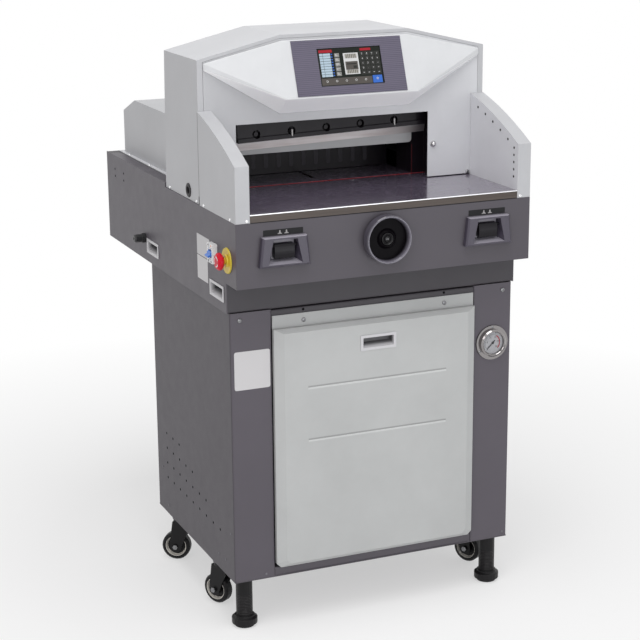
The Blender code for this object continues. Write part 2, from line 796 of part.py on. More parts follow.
def build_stand_sides():
    """Each side is one bent sheet: a front pillar, a side wall and a rear return."""
    outline = bent_sheet(
        [
            (-PILLAR_INNER_X, STAND_FRONT_Y + PILLAR_RETURN),
            (-PILLAR_INNER_X, STAND_FRONT_Y),
            (-STAND_HALF, STAND_FRONT_Y),
            (-STAND_HALF, STAND_REAR_Y),
            (REAR_RETURN - STAND_HALF, STAND_REAR_Y),
        ],
        SHEET,
    )
    for name, side in SIDES.items():
        shape = outline if side < 0 else mirrored(outline)
        wall = plate("stand_side_" + name, [shape], "plan", STAND_SHEET_BOTTOM_Z, STAND_TOP_Z, "dark_paint")
        centres = [
            (
                side * STAND_HALF,
                STAND_REAR_Y - VENT_REAR_MARGIN - column * VENT_PITCH_Y,
                STAND_BOTTOM_Z + VENT_BOTTOM_RISE + row * VENT_PITCH_Z,
            )
            for row, count in enumerate(VENT_ROW_COUNTS)
            for column in range(count)
        ]
        cut(wall, box_cluster("vents_" + name, centres, (OVERRUN, VENT_SIZE, VENT_SIZE)))
        if side > 0:
            seat = rod(
                "gauge_seat", "forward", (GAUGE_X, STAND_FRONT_Y, GAUGE_Z), OVERRUN, GAUGE_CAN_RADIUS + SEAT,
                steps=24,
            )
            cut(wall, seat)


def build_stand_rear():
    reach = STAND_HALF - SHEET - BEND_RADIUS - SEAT
    back = STAND_REAR_Y - SHEET - SEAT
    low = (-reach, back - SHEET, STAND_SHEET_BOTTOM_Z)
    box("stand_rear_panel", low, (reach, back, STAND_TOP_Z), "dark_paint")


def caster_swivels():
    """Where each caster turns: a name, a sign and a place in plan."""
    places = {}
    for name, side in SIDES.items():
        across = side * (STAND_HALF - CASTER_SIDE_MARGIN)
        places["front_" + name] = (across, STAND_FRONT_Y + CASTER_FRONT_MARGIN)
        places["rear_" + name] = (across, STAND_REAR_Y - CASTER_REAR_MARGIN)
    return places


def build_stand_base():
    """Floor sheet with a front lip, a nut boss for each foot and a plate and race for each caster."""
    base = box(
        "stand_base",
        (-STAND_HALF, STAND_FRONT_Y, STAND_BOTTOM_Z),
        (STAND_HALF, STAND_REAR_Y, STAND_BOTTOM_Z + SHEET),
        "dark_paint",
    )
    lip_path = [
        (LIP_FRONT_Y, STAND_BOTTOM_Z + SINK),
        (LIP_FRONT_Y, STAND_BOTTOM_Z + BASE_LIP_HEIGHT),
        (LIP_FRONT_Y + RAIL_DEPTH, STAND_BOTTOM_Z + BASE_LIP_HEIGHT),
    ]
    lip_reach = PILLAR_INNER_X - SEAT
    fuse(base, plate("base_lip", [bent_sheet(lip_path, SHEET)], "side", -lip_reach, lip_reach))
    foot_y = STAND_FRONT_Y + FOOT_SETBACK
    floor_middle = STAND_BOTTOM_Z + SHEET / 2
    for name, side in SIDES.items():
        centre = (side * FOOT_X, foot_y, STAND_BOTTOM_Z + FOOT_BOSS_HEIGHT / 2)
        boss_radius = FOOT_POST_RADIUS + FOOT_BOSS_WALL
        boss = rod("foot_boss_" + name, "up", centre, FOOT_BOSS_HEIGHT, boss_radius, steps=20)
        bore_length = FOOT_BOSS_HEIGHT + OVERRUN
        bore = rod("foot_bore_" + name, "up", centre, bore_length, FOOT_POST_RADIUS + SEAT, steps=20)
        fuse(base, boss)
        cut(base, bore)
    half_plate = CASTER_PLATE_SIZE / 2
    for name, (across, along) in caster_swivels().items():
        low = (across - half_plate, along - half_plate, STAND_BOTTOM_Z - CASTER_PLATE_THICKNESS)
        high = (across + half_plate, along + half_plate, floor_middle)
        fuse(base, box("caster_plate_" + name, low, high))
        race_top = STAND_BOTTOM_Z - CASTER_PLATE_THICKNESS / 2
        race_length = CASTER_RACE_HEIGHT + CASTER_PLATE_THICKNESS / 2
        centre = (across, along, race_top - race_length / 2)
        fuse(base, rod("caster_race_" + name, "up", centre, race_length, CASTER_RACE_RADIUS, steps=20))


def build_stand_rail():
    """Channel between the pillars that the cover screws to."""
    top = STAND_TOP_Z - RAIL_TOP_GAP
    path = [
        (LIP_FRONT_Y + RAIL_DEPTH, top - RAIL_HEIGHT),
        (LIP_FRONT_Y, top - RAIL_HEIGHT),
        (LIP_FRONT_Y, top),
        (LIP_FRONT_Y + RAIL_DEPTH, top),
    ]
    reach = PILLAR_INNER_X - SEAT
    plate("stand_top_rail", [bent_sheet(path, SHEET)], "side", -reach, reach, "dark_paint")


# Front cover

COVER_HALF = PILLAR_INNER_X - COVER_SIDE_GAP
COVER_BOTTOM_Z = STAND_BOTTOM_Z + COVER_BOTTOM_RISE
COVER_TOP_Z = STAND_TOP_Z - COVER_TOP_DROP
COVER_PAN_TOP_Z = COVER_TOP_Z - COVER_FLANGE_HEIGHT
COVER_BACK_Y = LIP_FRONT_Y - SEAT
COVER_FRONT_Y = STAND_FRONT_Y - COVER_STAND_OFF
COVER_RIM_Y = (COVER_BACK_Y + COVER_FRONT_Y) / 2
COVER_PULL_Z = COVER_TOP_Z - COVER_PULL_DROP


def cover_ring(depth, side_inset, end_inset):
    """One section of the pressed pan, with its two lower corners cut off."""
    half = COVER_HALF - side_inset
    low = COVER_BOTTOM_Z + end_inset
    high = COVER_PAN_TOP_Z - end_inset
    flat = [
        (-half, low + COVER_CORNER),
        (COVER_CORNER - half, low),
        (half - COVER_CORNER, low),
        (half, low + COVER_CORNER),
        (half, high),
        (-half, high),
    ]
    return [(across, depth, up) for across, up in flat]


def build_front_cover():
    """Pressed pan with a screw flange along its top, two creases and an opening for its pull."""
    outer = [
        cover_ring(COVER_BACK_Y, 0, 0),
        cover_ring(COVER_RIM_Y, 0, 0),
        cover_ring(COVER_FRONT_Y, COVER_SIDE_BEVEL, COVER_END_BEVEL),
    ]
    cover = loft("front_cover", outer, "cover_paint")
    flange_low = (-COVER_HALF, COVER_BACK_Y - COVER_WALL, COVER_PAN_TOP_Z - COVER_WALL)
    fuse(cover, box("cover_flange", flange_low, (COVER_HALF, COVER_BACK_Y, COVER_TOP_Z)))
    hollow = [
        cover_ring(COVER_BACK_Y + OVERRUN, COVER_WALL, COVER_WALL),
        cover_ring(COVER_RIM_Y, COVER_WALL, COVER_WALL),
        cover_ring(COVER_FRONT_Y + COVER_WALL, COVER_SIDE_BEVEL + COVER_WALL, COVER_END_BEVEL + COVER_WALL),
    ]
    cut(cover, loft("cover_hollow", hollow))
    crease_reach = COVER_HALF - CREASE_MARGIN
    for index, share in enumerate(CREASE_RISE_SHARES):
        level = STAND_BOTTOM_Z + STAND_HEIGHT * share
        wedge = [
            (COVER_FRONT_Y - CREASE_DEPTH, level - CREASE_WIDTH),
            (COVER_FRONT_Y + CREASE_DEPTH, level),
            (COVER_FRONT_Y - CREASE_DEPTH, level + CREASE_WIDTH),
        ]
        cut(cover, plate(f"crease_{index}", [wedge], "side", -crease_reach, crease_reach))
    cut(cover, box("cover_pull_opening", *pull_opening((0, COVER_FRONT_Y, COVER_PULL_Z), (1, 0))))
    build_pull("cover_pull", (0, COVER_FRONT_Y, COVER_PULL_Z), 0)


# Flush pulls

PULL_CUP_HALF_LENGTH = PULL_LENGTH / 2 - PULL_RIM_WIDTH
PULL_CUP_HALF_HEIGHT = PULL_HEIGHT / 2 - PULL_RIM_WIDTH


def pull_opening(centre, along):
    """Corners of the opening that a pull's cup passes through; along says which way its length lies."""
    half_length = PULL_CUP_HALF_LENGTH + SEAT
    across = (along[0] * half_length + along[1] * OVERRUN, along[1] * half_length + along[0] * OVERRUN)
    up = PULL_CUP_HALF_HEIGHT + SEAT
    low = (centre[0] - across[0], centre[1] - across[1], centre[2] - up)
    high = (centre[0] + across[0], centre[1] + across[1], centre[2] + up)
    return low, high


def pull_ring(half_length, half_height, depth, raise_floor=0):
    flat = rectangle((-half_length, raise_floor - half_height), (half_length, half_height))
    return [(across, depth, up) for across, up in rounded(flat, PULL_WALL, 2)]


def build_pull(name, centre, heading):
    """A moulded finger cup: one skin from its back, round its rim, down into its well."""
    front = -SEAT - PULL_RIM
    inner_length = PULL_CUP_HALF_LENGTH - PULL_WALL
    inner_height = PULL_CUP_HALF_HEIGHT - PULL_WALL
    floor_depth = PULL_CUP_DEPTH - PULL_WALL
    rings = [
        pull_ring(PULL_CUP_HALF_LENGTH, PULL_CUP_HALF_HEIGHT, PULL_CUP_DEPTH),
        pull_ring(PULL_CUP_HALF_LENGTH, PULL_CUP_HALF_HEIGHT, -SEAT),
        pull_ring(PULL_LENGTH / 2, PULL_HEIGHT / 2, -SEAT),
        pull_ring(PULL_LENGTH / 2, PULL_HEIGHT / 2, front),
        pull_ring(inner_length, inner_height, front),
        pull_ring(inner_length - PULL_WALL, inner_height - PULL_WALL, floor_depth, PULL_FLOOR_TAPER),
    ]
    pull = loft(name, rings, "light_plastic", location=centre)
    pull.rotation_euler = (0, 0, heading)


# Levelling feet and casters

def build_feet():
    """Threaded posts with pads, turned in the nut bosses of the stand's base."""
    top = STAND_BOTTOM_Z + FOOT_POST_TOP_RISE
    rounding = FOOT_PAD_RADIUS - FOOT_NECK_RADIUS
    profile = [
        (0, top),
        (FOOT_POST_RADIUS - SHEET, top),
        (FOOT_POST_RADIUS, top - SHEET),
        (FOOT_POST_RADIUS, FOOT_PAD_HEIGHT),
        (FOOT_NECK_RADIUS, FOOT_PAD_HEIGHT),
        (FOOT_NECK_RADIUS, FOOT_PAD_HEIGHT - rounding / 2),
        (FOOT_PAD_RADIUS, FOOT_PAD_HEIGHT - rounding),
        (FOOT_PAD_RADIUS, rounding),
        (FOOT_NECK_RADIUS, rounding / 2),
        (FOOT_NECK_RADIUS, 0),
        (0, 0),
    ]
    for name, side in SIDES.items():
        place = (side * FOOT_X, STAND_FRONT_Y + FOOT_SETBACK, 0)
        turned("foot_" + name, profile, "up", place, "black_plastic", steps=20)


def build_caster(name, place, heading, lift):
    """A swivelling fork that trails its wheel, carried by an empty on the swivel axis."""
    swivel = add_empty("swivel_" + name, (*place, 0), MACHINE, (0, 0, heading))
    axle_z = CASTER_WHEEL_RADIUS + lift
    crown_top = STAND_BOTTOM_Z - CASTER_PLATE_THICKNESS - CASTER_RACE_HEIGHT - SEAT
    crown_bottom = crown_top - CASTER_CROWN_HEIGHT
    cheek_inner = CASTER_WHEEL_WIDTH / 2 + CASTER_CHEEK_GAP
    cheek_outer = cheek_inner + CASTER_CHEEK
    fork = rod(
        "caster_fork_" + name, "up", (0, 0, (crown_top + crown_bottom) / 2), CASTER_CROWN_HEIGHT,
        CASTER_CROWN_RADIUS, "black_paint", swivel, 20,
    )
    bridge_low = (-CASTER_CHEEK_TOP_HALF, -cheek_outer, crown_bottom - CASTER_CHEEK)
    bridge_high = (CASTER_CHEEK_TOP_HALF, cheek_outer, crown_bottom + SINK)
    fuse(fork, box("bridge_" + name, bridge_low, bridge_high, parent=swivel))
    cheek_top = crown_bottom
    outline = [
        (-CASTER_CHEEK_TOP_HALF, cheek_top),
        (CASTER_CHEEK_TOP_HALF, cheek_top),
        (CASTER_CHEEK_TOP_HALF, cheek_top - CASTER_CHEEK_TOP_HALF),
    ]
    outline += arc((-CASTER_TRAIL, axle_z), CASTER_CHEEK_FOOT_RADIUS, 0, -math.pi, 6)
    for tag, side in SIDES.items():
        cheek = plate(
            f"cheek_{name}_{tag}", [outline], "front", side * cheek_inner, side * cheek_outer, parent=swivel
        )
        fuse(fork, cheek)
    axle_centre = (-CASTER_TRAIL, 0, axle_z)
    axle = rod("axle_" + name, "forward", axle_centre, 2 * cheek_outer, CASTER_AXLE_RADIUS, parent=swivel)
    bolt_length = 2 * (cheek_outer + CASTER_BOLT_HEAD)
    bolt = rod(
        "bolt_" + name, "forward", axle_centre, bolt_length, CASTER_BOLT_RADIUS, parent=swivel, steps=6
    )
    middle_low = (-CASTER_TRAIL - OVERRUN, -cheek_outer + SINK, axle_z - OVERRUN)
    middle_high = (OVERRUN - CASTER_TRAIL, cheek_outer - SINK, axle_z + OVERRUN)
    cut(bolt, box("bolt_gap_" + name, middle_low, middle_high, parent=swivel))
    fuse(fork, axle, bolt)
    build_wheel(name, swivel, axle_centre, cheek_inner)


def build_wheel(name, swivel, centre, cheek_inner):
    half = CASTER_WHEEL_WIDTH / 2
    web = CASTER_WEB / 2
    hub = cheek_inner - SEAT
    bore = CASTER_AXLE_RADIUS + SEAT
    upper = [
        (bore, hub),
        (CASTER_HUB_RADIUS, hub),
        (CASTER_HUB_RADIUS + CASTER_RIM_STEP, web),
        (CASTER_RIM_RADIUS - CASTER_RIM_STEP, web),
        (CASTER_RIM_RADIUS, half),
        (CASTER_WHEEL_RADIUS - CASTER_TREAD_ROUND, half),
        (CASTER_WHEEL_RADIUS, half - CASTER_TREAD_ROUND),
    ]
    lower = [(radius, -height) for radius, height in reversed(upper)]
    turned("caster_wheel_" + name, upper + lower, "forward", centre, "rubber", swivel)


def build_casters():
    for name, place in caster_swivels().items():
        lift = CASTER_FRONT_LIFT if name.startswith("front") else 0
        build_caster(name, place, math.radians(CASTER_HEADINGS_DEG[name]), lift)


# Hydraulic unit

def build_hydraulic_unit():
    """Oil tank with its lid, an upright pump motor and a valve block, seen with the cover off."""
    bottom = STAND_BOTTOM_Z + SHEET + SEAT
    top = bottom + TANK_HEIGHT
    front = STAND_FRONT_Y + TANK_SETBACK
    half = TANK_WIDTH / 2
    unit = box("hydraulic_unit", (-half, front, bottom), (half, front + TANK_DEPTH, top), "black_paint")
    lid_low = (-half - TANK_LID_LIP, front - TANK_LID_LIP, top - SINK)
    lid_high = (half + TANK_LID_LIP, front + TANK_DEPTH + TANK_LID_LIP, top + TANK_LID)
    fuse(unit, box("tank_lid", lid_low, lid_high))
    lid_top = top + TANK_LID
    middle_y = front + TANK_DEPTH / 2
    cowl = PUMP_MOTOR_RADIUS + TANK_LID_LIP
    profile = [
        (0, PUMP_MOTOR_HEIGHT),
        (PUMP_MOTOR_RADIUS, PUMP_MOTOR_HEIGHT),
        (cowl, PUMP_MOTOR_HEIGHT - TANK_LID_LIP),
        (cowl, PUMP_MOTOR_HEIGHT - PUMP_COWL_HEIGHT),
        (PUMP_MOTOR_RADIUS, PUMP_MOTOR_HEIGHT - PUMP_COWL_HEIGHT),
        (PUMP_MOTOR_RADIUS, TANK_LID),
        (cowl, TANK_LID),
        (cowl, -SINK),
        (0, -SINK),
    ]
    fuse(unit, turned("pump_motor", profile, "up", (-PUMP_MOTOR_SHIFT, middle_y, lid_top)))
    block_x = PUMP_MOTOR_SHIFT
    half_block = VALVE_BLOCK_SIZE / 2
    block_low = (block_x - half_block, middle_y - half_block, lid_top - SINK)
    block_high = (block_x + half_block, middle_y + half_block, lid_top + VALVE_BLOCK_SIZE)
    fuse(unit, box("valve_block", block_low, block_high))


# Machine body

def build_body_tray():
    """One bent sheet: the rear flange, rear wall, floor and the front band under the fascia."""
    path = [
        (BODY_DEPTH - REAR_FLANGE, DECK_TOP_Z),
        (BODY_DEPTH, DECK_TOP_Z),
        (BODY_DEPTH, BODY_BOTTOM_Z),
        (FASCIA_DEPTH, BODY_BOTTOM_Z),
        (FASCIA_DEPTH, FASCIA_BOTTOM_Z - SEAT),
    ]
    outline = bent_sheet(path, BODY_SHEET)
    plate("body_tray", [outline], "side", -BODY_INNER_HALF, BODY_INNER_HALF, "dark_paint")


def build_body_sides():
    """Side panels with a stepped flange along the top, which the hood, wings and table stand on."""
    outline = [
        (BODY_SHEET + SEAT, FASCIA_BOTTOM_Z),
        (FASCIA_DEPTH, FASCIA_BOTTOM_Z),
        (FASCIA_DEPTH, BODY_BOTTOM_Z),
        (BODY_DEPTH, BODY_BOTTOM_Z),
        (BODY_DEPTH, DECK_TOP_Z),
        (DECK_START_Y, DECK_TOP_Z),
        (DECK_START_Y, BODY_TOP_Z),
        (BODY_SHEET + SEAT, BODY_TOP_Z),
    ]
    for name, side in SIDES.items():
        holes = []
        if side < 0:
            holes.append(circle((ESTOP_Y, ESTOP_Z), ESTOP_STEM_RADIUS + SEAT, 16))
            holes.append(circle((GLAND_Y, GLAND_Z), GLAND_STUB_RADIUS + SEAT, 16))
        outer = side * HALF_WIDTH
        panel = plate(
            "body_side_" + name, [outline] + holes, "side", outer - side * BODY_SHEET, outer, "dark_paint"
        )
        span = sorted((side * FLANGE_INNER_X, outer - side * SINK))
        levels = [
            ("front", BODY_SHEET + SEAT, DECK_START_Y + BODY_SHEET, BODY_TOP_Z - BODY_SHEET, BODY_TOP_Z),
            ("riser", DECK_START_Y, DECK_START_Y + BODY_SHEET, BODY_TOP_Z - BODY_SHEET, DECK_TOP_Z),
            ("rear", DECK_START_Y, BODY_DEPTH - REAR_FLANGE - SEAT, DECK_TOP_Z - BODY_SHEET, DECK_TOP_Z),
        ]
        for tag, near, far, low, high in levels:
            fuse(panel, box(f"{tag}_flange_{name}", (span[0], near, low), (span[1], far, high)))
        for tag, along in (("front", SIDE_PULL_FRONT_Y), ("rear", SIDE_PULL_REAR_Y)):
            centre = (outer, along, SIDE_PULL_Z)
            cut(panel, box(f"pull_opening_{tag}_{name}", *pull_opening(centre, (0, 1))))
            build_pull(f"side_pull_{tag}_{name}", centre, side * math.pi / 2)


def build_front_fascia():
    """Front panel with returns behind its edges, a window for each paddle and a bearing hole."""
    fascia = box(
        "front_fascia", (-HALF_WIDTH, 0, FASCIA_BOTTOM_Z), (HALF_WIDTH, BODY_SHEET, BODY_TOP_Z), "dark_paint"
    )
    lower_low = (-BODY_INNER_HALF, SINK, FASCIA_BOTTOM_Z)
    lower_high = (BODY_INNER_HALF, FASCIA_DEPTH - SEAT, FASCIA_BOTTOM_Z + BODY_SHEET)
    fuse(fascia, box("lower_return", lower_low, lower_high))
    reach = FLANGE_INNER_X - SEAT
    upper_low = (-reach, SINK, BODY_TOP_Z - BODY_SHEET)
    fuse(fascia, box("upper_return", upper_low, (reach, FASCIA_TOP_RETURN, BODY_TOP_Z)))
    centre = (HANDWHEEL_X, 0, HANDWHEEL_Z)
    cut(fascia, rod("shaft_hole", "forward", centre, OVERRUN, HANDWHEEL_SHAFT_RADIUS + SEAT))
    half_width = PADDLE_REAR_WIDTH / 2 + SEAT
    half_height = PADDLE_REAR_HEIGHT / 2 + SEAT
    for name, side in SIDES.items():
        middle = FASCIA_CENTRE_X + side * PADDLE_SPACING / 2
        low = (middle - half_width, -OVERRUN, PADDLE_HOUSING_Z - half_height)
        high = (middle + half_width, OVERRUN, PADDLE_HOUSING_Z + half_height)
        cut(fascia, box("paddle_window_" + name, low, high))


# Fittings on the left side

def build_cable_gland():
    crown = GLAND_REACH - GLAND_BORE_RADIUS
    profile = [
        (GLAND_BORE_RADIUS, GLAND_REACH),
        (GLAND_DOME_RADIUS - GLAND_BORE_RADIUS / 2, GLAND_REACH),
        (GLAND_DOME_RADIUS, crown),
        (GLAND_DOME_RADIUS, GLAND_NUT_LENGTH),
        (GLAND_NUT_RADIUS, GLAND_NUT_LENGTH),
        (GLAND_NUT_RADIUS, 0),
        (GLAND_STUB_RADIUS, 0),
        (GLAND_STUB_RADIUS, -GLAND_STUB_LENGTH),
        (GLAND_BORE_RADIUS, -GLAND_STUB_LENGTH),
    ]
    turned("cable_gland", profile, "left", (-HALF_WIDTH - SEAT, GLAND_Y, GLAND_Z), "black_plastic", steps=12)


def build_breaker():
    """Two-pole breaker whose handle turns in a well."""
    back = -HALF_WIDTH - SEAT
    front = back - BREAKER_REACH
    body = box(
        "breaker_body",
        (front, BREAKER_Y - BREAKER_LENGTH / 2, BREAKER_Z - BREAKER_HEIGHT / 2),
        (back, BREAKER_Y + BREAKER_LENGTH / 2, BREAKER_Z + BREAKER_HEIGHT / 2),
        "white_plastic",
    )
    half_length = BREAKER_WELL_LENGTH / 2
    half_height = BREAKER_WELL_HEIGHT / 2
    well_low = (front - OVERRUN, BREAKER_Y - half_length, BREAKER_Z - half_height)
    well_high = (front + BREAKER_WELL_DEPTH, BREAKER_Y + half_length, BREAKER_Z + half_height)
    cut(body, box("breaker_well", well_low, well_high))
    axis_x = front + BREAKER_WELL_DEPTH - SEAT - TOGGLE_DRUM_RADIUS
    rest = -math.radians(TOGGLE_REST_DEG)
    axis = add_empty("toggle_axis", (axis_x, BREAKER_Y, BREAKER_Z), MACHINE, (0, rest, 0))
    length = BREAKER_WELL_LENGTH - 2 * TOGGLE_SIDE_GAP
    toggle = rod("breaker_toggle", "back", (0, 0, 0), length, TOGGLE_DRUM_RADIUS, "blue_plastic", axis)
    half = TOGGLE_LEVER_THICKNESS / 2
    lever_low = (-TOGGLE_LEVER_LENGTH, -length / 2, -half)
    fuse(toggle, box("toggle_lever", lever_low, (0, length / 2, half), parent=axis))


def build_emergency_stop():
    """Mushroom head on a plunger that slides in the plate's collar."""
    place = (-HALF_WIDTH - SEAT, ESTOP_Y, ESTOP_Z)
    bore = ESTOP_STEM_RADIUS + SEAT
    collar_top = ESTOP_PLATE_THICKNESS + ESTOP_COLLAR_HEIGHT
    plate_profile = [
        (bore, collar_top),
        (ESTOP_COLLAR_RADIUS - SHEET, collar_top),
        (ESTOP_COLLAR_RADIUS, ESTOP_PLATE_THICKNESS),
        (ESTOP_PLATE_RADIUS - SINK, ESTOP_PLATE_THICKNESS),
        (ESTOP_PLATE_RADIUS, 0),
        (bore, 0),
    ]
    turned("estop_plate", plate_profile, "left", place, "yellow_plastic")
    head_bottom = ESTOP_REACH - ESTOP_HEAD_THICKNESS
    socket_top = head_bottom + ESTOP_SOCKET_DEPTH
    stem_profile = [
        (0, socket_top - SEAT),
        (ESTOP_STEM_RADIUS, socket_top - SEAT),
        (ESTOP_STEM_RADIUS, -ESTOP_STEM_INNER),
        (0, -ESTOP_STEM_INNER),
    ]
    turned("estop_plunger", stem_profile, "left", place, "black_plastic", steps=16)
    head_profile = [
        (0, ESTOP_REACH),
        (ESTOP_HEAD_RADIUS - ESTOP_ROUNDING, ESTOP_REACH),
        (ESTOP_HEAD_RADIUS, ESTOP_REACH - ESTOP_ROUNDING),
        (ESTOP_HEAD_RADIUS, head_bottom + ESTOP_ROUNDING),
        (ESTOP_HEAD_RADIUS - ESTOP_ROUNDING, head_bottom),
        (bore, head_bottom),
        (bore, socket_top),
        (0, socket_top),
    ]
    turned("estop_head", head_profile, "left", place, "red_plastic")


# Cut paddles and handwheel

PADDLE_REAR_WIDTH = PADDLE_WINDOW_BOTTOM_WIDTH + 2 * PADDLE_WELL_WALL
PADDLE_REAR_HEIGHT = PADDLE_WINDOW_HEIGHT + 2 * PADDLE_WELL_WALL


def trapezium(depth, bottom_width, top_width, low, high):
    return [
        (-bottom_width / 2, depth, low),
        (bottom_width / 2, depth, low),
        (top_width / 2, depth, high),
        (-top_width / 2, depth, high),
    ]


def build_paddle(name, side):
    """Moulded housing with a sloping well, and a paddle whose pin ends turn in its side walls."""
    middle = FASCIA_CENTRE_X + side * PADDLE_SPACING / 2
    half_rear = PADDLE_REAR_HEIGHT / 2
    half_height = PADDLE_HOUSING_HEIGHT / 2
    half_window = PADDLE_WINDOW_HEIGHT / 2
    well_bottom = half_window - PADDLE_WELL_HEIGHT
    bevel = PADDLE_HOUSING_BEVEL
    front = -PADDLE_HOUSING_REACH
    narrow = 2 * bevel
    rings = [
        trapezium(
            PADDLE_WELL_BACK + PADDLE_WELL_WALL, PADDLE_REAR_WIDTH, PADDLE_REAR_WIDTH, -half_rear, half_rear
        ),
        trapezium(-SEAT, PADDLE_REAR_WIDTH, PADDLE_REAR_WIDTH, -half_rear, half_rear),
        trapezium(-SEAT, PADDLE_HOUSING_BOTTOM_WIDTH, PADDLE_HOUSING_TOP_WIDTH, -half_height, half_height),
        trapezium(
            front + bevel, PADDLE_HOUSING_BOTTOM_WIDTH, PADDLE_HOUSING_TOP_WIDTH, -half_height, half_height
        ),
        trapezium(
            front, PADDLE_HOUSING_BOTTOM_WIDTH - narrow, PADDLE_HOUSING_TOP_WIDTH - narrow,
            bevel - half_height, half_height - bevel / 2,
        ),
        trapezium(front, PADDLE_WINDOW_BOTTOM_WIDTH, PADDLE_WINDOW_TOP_WIDTH, -half_window, half_window),
        trapezium(PADDLE_WELL_BACK, PADDLE_WELL_WIDTH, PADDLE_WELL_WIDTH, well_bottom, half_window),
    ]
    housing = loft("paddle_housing_" + name, rings, "grey_plastic", location=(middle, 0, PADDLE_HOUSING_Z))
    pivot_z = PADDLE_HOUSING_Z + PADDLE_HEIGHT / 2 - PADDLE_RISE
    axis = add_empty("paddle_axis_" + name, (middle, -PADDLE_SETBACK, pivot_z), MACHINE)
    half = PADDLE_THICKNESS / 2
    front_face = bowed((-half, PADDLE_RISE), (-half, PADDLE_RISE - PADDLE_HEIGHT), -PADDLE_BELLY, 6)
    outline = front_face + [(half, PADDLE_RISE - PADDLE_HEIGHT), (half, PADDLE_RISE)]
    paddle = plate(
        "cut_paddle_" + name, [outline], "side", -PADDLE_WIDTH / 2, PADDLE_WIDTH / 2, "grey_plastic", axis
    )
    bore_length = PADDLE_PIN_LENGTH + 2 * SEAT
    bore_radius = PADDLE_PIN_RADIUS + SEAT
    pin = rod(
        "paddle_pin_" + name, "up", (0, 0, 0), PADDLE_PIN_LENGTH, PADDLE_PIN_RADIUS, parent=axis, steps=12
    )
    bore = rod("paddle_bore_" + name, "up", (0, 0, 0), bore_length, bore_radius, parent=axis, steps=12)
    for shape in (pin, bore):
        shape.rotation_euler = (0, math.pi / 2, 0)
    fuse(paddle, pin)
    cut(housing, bore)


def build_handwheel():
    """Dished wheel with a rounded rim, a hub and a shaft that turns in the fascia."""
    floor = HANDWHEEL_BACK_GAP + HANDWHEEL_FLOOR
    hub_top = floor + HANDWHEEL_HUB_RISE
    dish = HANDWHEEL_HUB_DISH
    inner = HANDWHEEL_RADIUS - HANDWHEEL_LIP
    profile = [
        (0, hub_top - dish),
        (HANDWHEEL_HUB_RADIUS - 2 * dish, hub_top - dish),
        (HANDWHEEL_HUB_RADIUS - dish, hub_top),
        (HANDWHEEL_HUB_RADIUS, hub_top - dish),
        (HANDWHEEL_HUB_RADIUS + dish, floor),
        (inner - HANDWHEEL_DISH_TAPER, floor),
        (inner, HANDWHEEL_REACH - HANDWHEEL_LIP / 2),
        (inner + HANDWHEEL_LIP / 3, HANDWHEEL_REACH),
        (HANDWHEEL_RADIUS - HANDWHEEL_LIP / 3, HANDWHEEL_REACH),
        (HANDWHEEL_RADIUS, HANDWHEEL_REACH - HANDWHEEL_LIP / 2),
        (HANDWHEEL_RADIUS, HANDWHEEL_BACK_GAP + dish),
        (HANDWHEEL_RADIUS - dish, HANDWHEEL_BACK_GAP),
        (HANDWHEEL_SHAFT_RADIUS, HANDWHEEL_BACK_GAP),
        (HANDWHEEL_SHAFT_RADIUS, -HANDWHEEL_SHAFT_LENGTH),
        (0, -HANDWHEEL_SHAFT_LENGTH),
    ]
    centre = (HANDWHEEL_X, 0, HANDWHEEL_Z)
    turned("handwheel", profile, "forward", centre, "grey_plastic", steps=32)


# Pressure gauge

def build_gauge():
    """Flanged case let into the pillar, with its needle under a glass."""
    place = (GAUGE_X, STAND_FRONT_Y, GAUGE_Z)
    base = SEAT + GAUGE_FLANGE
    dial = SEAT + GAUGE_DIAL_HEIGHT
    top = SEAT + GAUGE_BEZEL_HEIGHT
    profile = [
        (0, dial),
        (GAUGE_DIAL_RADIUS, dial),
        (GAUGE_DIAL_RADIUS, top - GAUGE_FLANGE / 2),
        (GAUGE_DIAL_RADIUS + GAUGE_FLANGE / 2, top),
        (GAUGE_BEZEL_RADIUS - GAUGE_FLANGE, top),
        (GAUGE_BEZEL_RADIUS, top - GAUGE_FLANGE),
        (GAUGE_BEZEL_RADIUS, base),
        (GAUGE_FLANGE_RADIUS - SINK, base),
        (GAUGE_FLANGE_RADIUS, SEAT),
        (GAUGE_CAN_RADIUS, SEAT),
        (GAUGE_CAN_RADIUS, -GAUGE_CAN_LENGTH),
        (0, -GAUGE_CAN_LENGTH),
    ]
    turned("gauge_case", profile, "forward", place, "chrome", steps=28)
    glass_y = STAND_FRONT_Y - (top - GAUGE_GLASS_DROP - GAUGE_GLASS / 2)
    glass_radius = GAUGE_DIAL_RADIUS - SEAT
    rod("gauge_glass", "forward", (GAUGE_X, glass_y, GAUGE_Z), GAUGE_GLASS, glass_radius, "glass", steps=28)
    needle_back = STAND_FRONT_Y - dial - SEAT
    needle_front = needle_back - NEEDLE_THICKNESS
    axis = add_empty(
        "needle_axis", (GAUGE_X, (needle_back + needle_front) / 2, GAUGE_Z), MACHINE,
        (0, math.radians(NEEDLE_REST_DEG), 0),
    )
    half = NEEDLE_THICKNESS / 2
    outline = [
        (-NEEDLE_HALF_WIDTH, -NEEDLE_TAIL),
        (NEEDLE_HALF_WIDTH, -NEEDLE_TAIL),
        (NEEDLE_HALF_WIDTH / 2, NEEDLE_LENGTH),
        (-NEEDLE_HALF_WIDTH / 2, NEEDLE_LENGTH),
    ]
    needle = plate("gauge_needle", [outline], "front", -half, half, "black_plastic", axis)
    hub_length = 2 * NEEDLE_THICKNESS
    hub = rod("needle_hub", "forward", (0, -half, 0), hub_length, NEEDLE_HUB_RADIUS, parent=axis, steps=12)
    fuse(needle, hub)


# Table and frame

